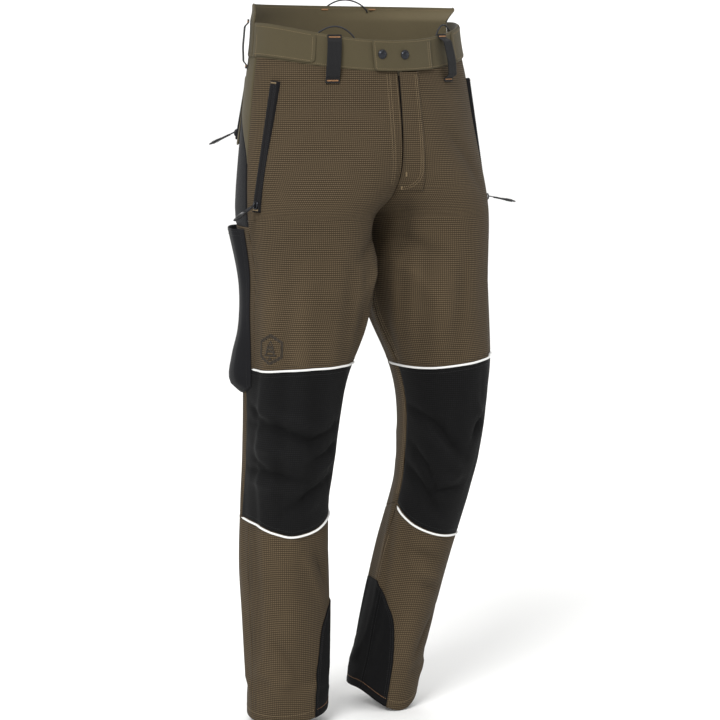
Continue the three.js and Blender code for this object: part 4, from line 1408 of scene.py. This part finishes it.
def waist_tab():
    S, T = np.meshgrid(steps(100, 3, (0.8, 1.8, 3.0, 5.0)), steps(40, 3))
    x = TAB_LEFT + TAB_LENGTH * S
    r = rounded(np.minimum(1, (x - TAB_LEFT) / 7), 5)
    top, low = tab_edges(x)
    z = (top - r) * (1 - T) + (low + r) * T
    base = front_at(x, z, TAB_FACE)
    drop = edge_drop(lengths(base, 1), lengths(base, 0), (0.7, 0.4, 0.7, 0.7))
    outer, inside = front_at(x, z, TAB_FACE - drop), front_at(x, z, TAB_IN)
    tab = cloth_piece("waist_tab_cloth", outer, inside, ["olive", "olive"], base)
    declare(tab)
    on_body(tab, "waist_tab_body", "twill_olive", "waist_tab")
    p = Parts()
    inset = 3.0
    xs, zs = np.linspace(-34, 60, 60), np.linspace(-4, -39, 16)
    top, low = tab_edges(xs)
    lines = [(xs, top - inset), (xs, low + inset)]
    lines += [(np.full(16, x), zs) for x in (-35.0, 56.0, 59.5)]
    for x, z in lines:
        d = front_at(x + 1, z, TAB_FACE) - front_at(x - 1, z, TAB_FACE)
        n = np.stack([d[:, 1], -d[:, 0], 0 * z], -1)
        p.stitches(front_at(x, z, TAB_FACE), n / np.linalg.norm(n, axis=1, keepdims=True))
    on_body(p.build("waist_tab_stitching", ["tan"]), "waist_tab_body", "twill_olive")
    for name, (x, z) in SNAPS.items():
        on_body(snap(name, x, z, "cap"), "waist_tab_body", "gunmetal", f"{name}_snap_cap")
        on_body(snap(name, x, z, "stud"), "trousers", "gunmetal", f"{name}_snap_stud")


ADJUSTER_END = 47
ADJUSTER_IN, ADJUSTER_FACE = 3.6, 4.8


def adjuster(k):
    s = SIDES[k]
    S, T = np.meshgrid(steps(120, 3.5, (0.8, 1.8, 3.4, 6.0)), steps(40, 3))
    phi = ADJUSTER_END * S
    r = rounded(np.clip((ADJUSTER_END - phi) / 4, 0, 1), 6)
    top, low = band_top(phi) - 1.5 - r, band_bottom(phi) + 2.5 + r
    z = top * (1 - T) + low * T
    base = at(k, phi, z, ADJUSTER_FACE)
    drop = edge_drop(lengths(base, 1), lengths(base, 0), (0.3, 0.8, 0.7, 0.7))
    outer, inside = at(k, phi, z, ADJUSTER_FACE - drop), at(k, phi, z, ADJUSTER_IN)
    tab = cloth_piece(f"{s}_adjuster_tab_cloth", outer, inside, ["olive", "olive"], base)
    declare(tab)
    on_body(tab, f"{s}_adjuster", "twill_olive", f"{s}_adjuster_tab")
    p = Parts()
    phi = np.linspace(2, 43.5, 50)
    z = np.linspace(float(band_top(44.5)) - 9, float(band_bottom(44.5)) + 9, 14)
    lines = [(phi, band_top(phi) - 4.8), (phi, band_bottom(phi) + 5.8)]
    lines += [(np.full(14, 45.0), z), (np.full(14, 3.0), z + 3)]
    for phi, z in lines:
        p.sew_band(k, phi, z, ADJUSTER_FACE)
    on_body(p.build(f"{s}_adjuster_tab_stitching", ["tan"]), f"{s}_adjuster", "twill_olive")


LOOP_WIDTH, LOOP_THICK = 21, 1.4
LOOP_HEAD, LOOP_FOOT = 4.8, 2.2       # inner face at its two ends


def belt_loop(name, k, phi, z_top, z_bot, stand):
    """A strap sewn down at both ends, standing off the band between them."""
    across = np.array([0, 0.04, 0.12, 0.3, 0.5, 0.7, 0.88, 0.96, 1])
    S, T = np.meshgrid(across, steps(z_top - z_bot, 1.7))
    z = z_top * (1 - T) + z_bot * T
    e = np.clip(np.minimum(T, 1 - T) / 0.16, 0, 1)
    base = LOOP_HEAD + (LOOP_FOOT - LOOP_HEAD) * smooth((T - 0.5) / 0.4)
    lift = stand * smooth((e - 0.35) / 0.65) * (0.75 + 0.25 * np.sin(np.pi * T))
    n = normal(k, phi, z)
    sideways = np.stack([-n[..., 1], n[..., 0], 0 * z], -1) * ((S - 0.5) * LOOP_WIDTH)[..., None]
    layers = []
    for w in (LOOP_THICK, 0.0):
        soft = np.where((S < 0.01) | (S > 0.99), 0.35 if w else -0.35, 0)
        layers.append(at(k, phi, z, base + lift + w - soft) + sideways)
    obj = cloth_piece(f"{name}_strap", layers[0], layers[1], ["webbing", "webbing"])
    on_body(obj, "trousers", "webbing_black", name)
    p = Parts()
    mid = layers[0][:, len(across) // 2]
    rows = len(mid)
    for i in (int(rows * 0.055) + 1, rows - int(rows * 0.06) - 2):
        n = normal(k, phi, mid[i, 2])
        p.tack(mid[i], np.array([-n[1], n[0], 0]), n, 17, 2.2)
    on_body(p.build(f"{name}_bar_tacks", ["orange"]), "trousers", "webbing_black")


CORD_POINTS, CORD_FINE, CORD_TURNS = 48, 6, 16
# brace loops: side, its two angles, angle and rise of its crown; the back one stands outside the band
BRACE_LOOPS = {"right": (-1, 45, 70, 57, 13), "left": (1, 41, 61, 51, 12), "back": (1, -86.5, -61, None, 0)}


def brace_loop(name):
    """A braided cord sewn down at both ends, arching over the top edge."""
    def arch(t, lo, hi):
        return lo + (hi - lo) * np.sin(np.pi * np.clip(t, 0, 1)) ** 0.6
    k, start, end, middle, rise = BRACE_LOOPS[name]
    t = np.linspace(0, 1, CORD_POINTS)
    phi = start + (end - start) * t
    if middle is None:
        path = at(k, phi, arch(t, 40, 60), BAND + 1.5)
    else:
        path = at(k, phi, arch(t, band_top(phi) - 12, float(band_top(middle)) + rise), -1.9)
    p = Parts()
    p.add(*tube(path, 1.15, 8), 0)
    fine_at = np.linspace(0, CORD_POINTS - 1, CORD_POINTS * CORD_FINE)
    fine = np.stack([np.interp(fine_at, np.arange(CORD_POINTS), path[:, c]) for c in range(3)], -1)
    n = normal(k, start, 0.0)
    side = np.cross(frames(fine), n)
    for strand in range(3):
        spin = np.linspace(0, 2 * np.pi * CORD_TURNS, CORD_POINTS * CORD_FINE) + strand * 2.094
        round_it = side * (np.cos(spin) * 0.75)[:, None] + n * (np.sin(spin) * 0.75)[:, None]
        p.add(*tube(fine + round_it, 0.5, 4, up=n), 0)
    on_body(p.build(f"{name}_brace_loop_cord", ["cord"]), "trousers", "cord_black", f"{name}_brace_loop")


# ------------------------------------------------------------------ thigh pockets
# how far the pockets stand off the cloth, from the top edge (0) to the foot (1)
TOOL_ROWS = [(0, 12), (0.2, 9.5), (0.45, 4), (0.62, 6), (0.78, 15), (0.93, 18), (1, 1.2)]
CARGO_ROWS = [(0, 4.6), (0.3, 7), (0.8, 8), (1, 1.0)]
TOOL_TOP, TOOL_SPAN, TOOL_BACK, TOOL_WIDE = -279, 244, -60, 55
CARGO_FLAP_TOP, CARGO_FLAP_FOOT, CARGO_FLAP_LIFT = -269, -348, 16.5
POCKET_IN, POCKET_FACE = 2.2, 3.5


def closing(s):
    """1 across a pocket, falling to 0 at its two sides; s runs from side to side."""
    return smooth(np.minimum(s, 1 - s) / 0.16)


def flap_lift(t):
    return CARGO_FLAP_LIFT * np.clip(t, 0, 1) ** 0.6


def tool_foot(phi):
    return -526 + 14 * ((phi + 32) / 28) ** 2


def tool_pocket():
    pocket = panel("right_tool_pocket_cloth", -1, const(TOOL_BACK), const(-5), const(TOOL_TOP), tool_foot,
                   ["stretch", "stretch"], off=POCKET_IN, step=3.2,
                   shape=lambda s, t, phi, z: hermite(TOOL_ROWS, t) * closing(s))
    declare(pocket)
    put(pocket, -1, 0, "stretch_black", "right_tool_pocket")


def cargo_pocket():
    pocket = panel("left_cargo_pocket_cloth", 1, const(-58), const(-5), const(-284), const(-466),
                   ["stretch", "stretch"], off=POCKET_IN, step=3.2,
                   shape=lambda s, t, phi, z: hermite(CARGO_ROWS, t) * closing(s))
    declare(pocket)
    put(pocket, 1, 0, "stretch_black", "left_cargo_pocket")
    flap = panel("left_cargo_flap_cloth", 1, const(-60), const(-3), const(CARGO_FLAP_TOP),
                 const(CARGO_FLAP_FOOT), ["stretch", "stretch"], off=3.0, thick=1.6, step=3,
                 shape=lambda s, t, phi, z: flap_lift(t))
    declare(flap)
    on_body(flap, "cargo_flap", "stretch_black", "left_cargo_flap")
    p = Parts()
    for z, first, last in ((-272.5, -58, -5), (-278.5, -58, -5), (-343.0, -57, -6)):
        t = (CARGO_FLAP_TOP - z) / (CARGO_FLAP_TOP - CARGO_FLAP_FOOT)
        p.sew(1, np.linspace(first, last, 50), np.full(50, z), 4.6 + flap_lift(t))
    on_body(p.build("left_cargo_flap_stitching", ["black"]), "cargo_flap", "stretch_black")


def tool_pocket_stitching():
    p = Parts()
    for s in (0.05, 0.95):
        z = np.linspace(-284, -514, 70)
        t = np.clip((TOOL_TOP - z) / TOOL_SPAN, 0, 1)
        phi = np.full(70, TOOL_BACK + TOOL_WIDE * s)
        p.sew(-1, phi, z, POCKET_FACE + hermite(TOOL_ROWS, t) * closing(s))
    phi = np.linspace(-57, -8, 50)
    for drop in (4, 10):
        off = POCKET_FACE + hermite(TOOL_ROWS, drop / TOOL_SPAN) * closing((phi - TOOL_BACK) / TOOL_WIDE)
        p.sew(-1, phi, np.full(50, TOOL_TOP - drop * 1.0), off)
    on_body(p.build("right_tool_pocket_stitching", ["black"]), "trousers", "stretch_black")


# ------------------------------------------------------------------ embroidered badge on the right thigh
BADGE_PHI, BADGE_Z, BADGE_SCALE = 27.0, -453.0, 1.12
BADGE_RADII = (20.0, 17.6)
# the pine: base height, half width and tip of each tier
BADGE_TIERS = ((-8, 8.0, 0), (-3, 6.3, 5), (2, 4.6, 11))


def badge_line(p, corners):
    """One embroidered line through the corners, given in mm across and up from the badge's centre."""
    corners = np.array(corners, float) * BADGE_SCALE
    points = []
    for start, end in zip(corners[:-1], corners[1:]):
        n = max(2, int(np.linalg.norm(end - start)))
        points += [start + (end - start) * j / n for j in range(n)]
    points = np.array(points + [corners[-1]])
    z = BADGE_Z + points[:, 1]
    phi = beside(-1, np.full(len(points), BADGE_PHI), z, points[:, 0])
    p.add(*tube(skin(-1, phi, z, THICK + 0.25), 0.9, 6, 0.8, up=normal(-1, phi, z)), 0)


def emblem():
    p = Parts()
    turns = [math.radians(30 + 60 * i) for i in range(7)]
    for radius in BADGE_RADII:
        badge_line(p, [(radius * math.cos(turn), radius * math.sin(turn)) for turn in turns])
    for base, half, top in BADGE_TIERS:
        badge_line(p, [(-half, base), (0, top), (half, base), (-half, base)])
    badge_line(p, [(0, -8), (0, -13)])
    badge_line(p, [(-3, -13), (3, -13)])
    on_body(p.build("right_thigh_tree_badge", ["dark"]), "trousers", "ripstop_brown")


# ------------------------------------------------------------------ studio
def light(name, place, target, size, power, colour=(1, 1, 1)):
    data = bpy.data.lights.new(name, "AREA")
    data.shape, data.size, data.energy, data.color = "DISK", size, power, colour
    obj = bpy.data.objects.new(name, data)
    bpy.context.scene.collection.objects.link(obj)
    obj.location = place
    obj.rotation_euler = (Vector(target) - Vector(place)).to_track_quat("-Z", "Y").to_euler()


# the floor is a wide disc whose far rim rises a little: radius, rise, mm
FLOOR_RINGS = ((50000, 0), (100000, 22000))
FLOOR_SIDES = 48


def studio():
    floor_z = cad_box[0].z - 0.001
    m, tree, shader = material("floor", (0.86, 0.86, 0.85, 1), 0.7)
    place = node(tree, "ShaderNodeTexCoord")
    n = node(tree, "ShaderNodeTexNoise")
    n.inputs["Scale"].default_value = 0.8
    tree.links.new(place.outputs["Object"], n.inputs["Vector"])
    tone = mixed(tree, n.outputs[0], (0.84, 0.84, 0.83, 1), (0.88, 0.88, 0.87, 1))
    tree.links.new(tone, shader.inputs["Base Color"])
    MAT["floor"] = m
    turn = np.arange(FLOOR_SIDES) / FLOOR_SIDES * 2 * np.pi
    level = floor_z / MM
    verts = [(0, 0, level)]
    for radius, rise in FLOOR_RINGS:
        rim = [radius * np.cos(turn), radius * np.sin(turn), 0 * turn + level + rise]
        verts += list(np.stack(rim, -1))
    faces = []
    for j in range(FLOOR_SIDES):
        q = (j + 1) % FLOOR_SIDES
        faces += [(0, 1 + j, 1 + q), (1 + j, 1 + FLOOR_SIDES + j, 1 + FLOOR_SIDES + q, 1 + q)]
    floor = new_object("floor", verts, faces, ["floor"], smooth_faces=False)
    target = (0, 0, -0.45)
    sun = bpy.data.lights.new("sun", "SUN")
    sun.energy, sun.angle = 2.6, math.radians(24)
    key = bpy.data.objects.new("sun", sun)
    bpy.context.scene.collection.objects.link(key)
    key.rotation_euler = Vector((0.62, 0.52, -0.62)).to_track_quat("-Z", "Y").to_euler()
    light("fill", (2.8, -2.2, 0.9), target, 2.4, 8)
    light("top", (0.1, -0.3, 2.6), target, 2.2, 16)
    light("rear", (1.2, 3.0, 1.4), target, 2.4, 30)
    world = bpy.data.worlds.new("studio")
    bpy.context.scene.world = world
    world.use_nodes = True
    back = world.node_tree.nodes["Background"]
    back.inputs[0].default_value = (1, 1, 1, 1)
    back.inputs[1].default_value = 0.74
    bpy.context.scene.view_settings.view_transform = "Standard"


def camera():
    azimuth, elevation, distance = math.radians(-30), math.radians(7), 4.4
    target = Vector((0, 0, -0.487))
    flat = math.cos(elevation)
    back = Vector((math.sin(azimuth) * flat, -math.cos(azimuth) * flat, math.sin(elevation)))
    data = bpy.data.cameras.new("camera")
    data.sensor_width = 36
    data.lens = 18 / (0.5508 / distance)
    data.clip_end = 500
    obj = bpy.data.objects.new("camera", data)
    bpy.context.scene.collection.objects.link(obj)
    obj.location = target + back * distance
    obj.rotation_euler = (-back).to_track_quat("-Z", "Y").to_euler()
    bpy.context.scene.camera = obj


camera()
studio()
for side_k in SIDES:
    drape(side_k)
for side_k in SIDES:
    front_waistband(side_k)
back_waistband()
band_stitching()
for side_k in SIDES:
    shell(side_k)
    ankle_guard(side_k)
    piping(side_k, "upper")
    piping(side_k, "lower")
    shell_stitching(side_k)
    inlay(side_k)
    adjuster(side_k)
zips()
back_welt()
fly_zip()
fly_flap()
right_fly_edge()
waist_tab()
for loop in (("right_front_belt_loop", -1, 57, 9, -62, 5), ("left_front_belt_loop", 1, 58, 9, -62, 11),
             ("right_side_belt_loop", -1, -16, 31, -42, 6), ("left_side_belt_loop", 1, -16, 31, -42, 7),
             ("back_belt_loop", -1, -89.5, 34, -32, 6)):
    belt_loop(*loop)
for loop in BRACE_LOOPS:
    brace_loop(loop)
tool_pocket()
cargo_pocket()
tool_pocket_stitching()
emblem()
